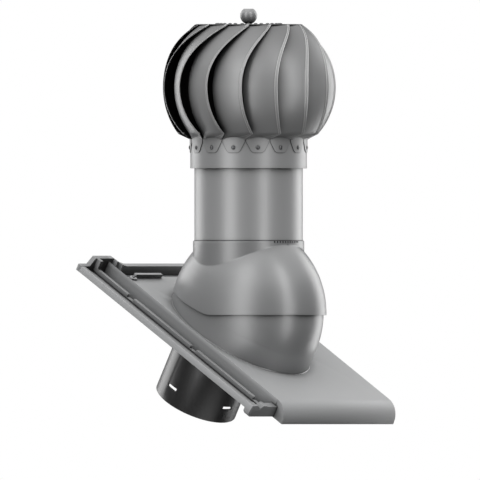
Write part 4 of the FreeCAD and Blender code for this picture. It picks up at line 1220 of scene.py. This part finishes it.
@dataclass
class Studio:
    """The camera, the lamps, the dark screen, the floor and the pale surroundings."""

    width: float = 0.708
    azimuth: float = -45.0
    aim: tuple[float, float, float] = (-0.00898, -0.1010, 0.2385)
    distance: float = 3.0
    far: float = 50.0
    sky: float = 1.56
    ground: float = 0.0
    sky_from: float = -0.5
    screen_tone: float = 0.05
    screen_reach: float = 2.6
    screen_top: float = 1.5
    screen_foot: float = -6.0
    screen_columns: int = 40
    floor_reach: float = 6.0
    floor_drop: float = 0.0005
    floor_tone: float = 0.92
    floor_roughness: float = 0.9
    floor_glow: float = 0.35
    floor_bounce: float = 0.02
    lamps: tuple[Lamp, ...] = (
        Lamp("left_strip", -39.0, 8.0, 0.8, 4.0, 39.0),
        Lamp("right_strip", 33.0, 14.0, 0.5, 4.0, 30.0),
        Lamp("left_rim", -132.0, 0.0, 1.2, 2.6, 26.0),
        Lamp("right_rim", 132.0, 0.0, 1.3, 2.6, 34.0),
        Lamp("top_box", -60.0, 78.0, 1.4, 1.4, 5.0),
        Lamp("left_key", -58.0, 28.0, 0.8, 0.8, 2.0, plain=True),
    )

    def outward(self, to_right: float, lift: float) -> Vector:
        """Find a direction from the ventilator.

        Args:
            to_right: Degrees to the right of the camera, as it looks.
            lift: Degrees above the horizon.

        Returns:
            The unit vector.
        """
        turn = math.radians(self.azimuth + to_right)
        rise = math.radians(lift)
        return Vector((math.sin(turn) * math.cos(rise), -math.cos(turn) * math.cos(rise), math.sin(rise)))

    def aim_from(self, item: Piece, to_right: float, lift: float, distance: float) -> None:
        """Stand a lamp or a camera off and point it at the ventilator.

        Args:
            item: The object to place.
            to_right: Degrees to the right of the camera, as it looks.
            lift: Degrees above the horizon.
            distance: How far off it stands.
        """
        away = self.outward(to_right, lift)
        item.location = Vector(self.aim) + away * distance
        item.rotation_mode = "QUATERNION"
        item.rotation_quaternion = (-away).to_track_quat("-Z", "Y")

    def camera(self) -> None:
        """Point a level camera without perspective at the ventilator."""
        data = bpy.data.cameras.new("camera")
        data.type = "ORTHO"
        data.ortho_scale = self.width
        data.clip_end = self.far
        camera = put_in_scene("camera", data)
        self.aim_from(camera, 0.0, 0.0, self.distance)
        bpy.context.scene.camera = camera

    def lights(self) -> None:
        """Hang the soft lamps: plain ones light the surfaces, the others only show in their gloss."""
        for lamp in self.lamps:
            data = bpy.data.lights.new(lamp.name, "AREA")
            data.shape = "RECTANGLE"
            data.size = lamp.wide
            data.size_y = lamp.high
            data.energy = lamp.power
            item = put_in_scene(lamp.name, data)
            self.aim_from(item, lamp.to_right, lamp.lift, lamp.distance)
            item.visible_diffuse = lamp.plain
            item.visible_glossy = not lamp.plain

    def screen(self) -> None:
        """Stand a round dark screen about the studio, seen only in reflections."""
        rows = [[Vector(self.aim) + self.outward(t, 0.0) * self.screen_reach + Vector((0.0, 0.0, rise))
                 for t in np.linspace(-180, 180, self.screen_columns)] for rise in (self.screen_foot, self.screen_top)]
        screen = sheet_mesh("dark_screen", np.array(rows))
        material, wires = new_material("screen_grey")
        glow = wires.add("ShaderNodeEmission", {"Color": opaque(self.screen_tone)})
        wires.add("ShaderNodeOutputMaterial", {"Surface": glow.outputs["Emission"]})
        screen.data.materials.append(material)
        screen.visible_camera = False
        screen.visible_diffuse = False
        screen.visible_shadow = False
        screen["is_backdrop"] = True

    def surroundings(self) -> None:
        """Light the world from above, and show it white where it is seen."""
        world = bpy.data.worlds.new("studio_world")
        bpy.context.scene.world = world
        world.use_nodes = True
        wires = Wiring(world.node_tree)
        path = wires.add("ShaderNodeLightPath").outputs
        seen = wires.math("MAXIMUM", path["Is Camera Ray"], path["Is Glossy Ray"])
        seen = wires.math("MAXIMUM", seen, path["Is Transmission Ray"])
        place = wires.add("ShaderNodeTexCoord").outputs["Generated"]
        split = wires.add("ShaderNodeSeparateXYZ", {"Vector": place})
        height = wires.add("ShaderNodeMapRange", {"Value": split.outputs["Z"], "From Min": self.sky_from})
        light = wires.mix(height.outputs["Result"], opaque(self.ground), opaque(self.sky))
        background = wires.add("ShaderNodeBackground", {"Color": wires.mix(seen, light, opaque(1.0))})
        wires.add("ShaderNodeOutputWorld", {"Surface": background.outputs["Background"]})

    def floor(self) -> None:
        """Lay the pale floor under the lowest point of the ventilator."""
        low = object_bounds()[0].z - self.floor_drop
        span = (-self.floor_reach, self.floor_reach)
        floor = sheet_mesh("floor", np.array([[(x, y, low) for x in span] for y in span]))
        material, wires = new_material("floor_white")
        seen = wires.add("ShaderNodeLightPath").outputs["Is Camera Ray"]
        shader = wires.add("ShaderNodeBsdfPrincipled", {
            "Base Color": wires.mix(seen, opaque(self.floor_bounce), opaque(self.floor_tone)),
            "Roughness": self.floor_roughness,
            "Emission Color": opaque(1.0),
            "Emission Strength": wires.times(seen, self.floor_glow),
        })
        wires.add("ShaderNodeOutputMaterial", {"Surface": shader.outputs["BSDF"]})
        floor.data.materials.append(material)
        floor.visible_glossy = False
        floor.visible_shadow = False
        floor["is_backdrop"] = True

    def build(self) -> None:
        """Set up the whole studio."""
        bpy.context.scene.view_settings.view_transform = "Standard"
        self.camera()
        self.lights()
        self.screen()
        self.surroundings()
        self.floor()


def main() -> None:
    """Build and dress the ventilator, then set up its studio."""
    logging.basicConfig(level=logging.INFO, format="%(name)s %(message)s")
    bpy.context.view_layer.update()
    paint = Paintbox()
    paint.dress_frame()
    RoofPlate(paint).build()
    BallDome(paint).build()
    Neck(paint).build()
    Turbine(paint).build()
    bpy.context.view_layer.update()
    Studio().build()


if __name__ == "__main__":
    main()
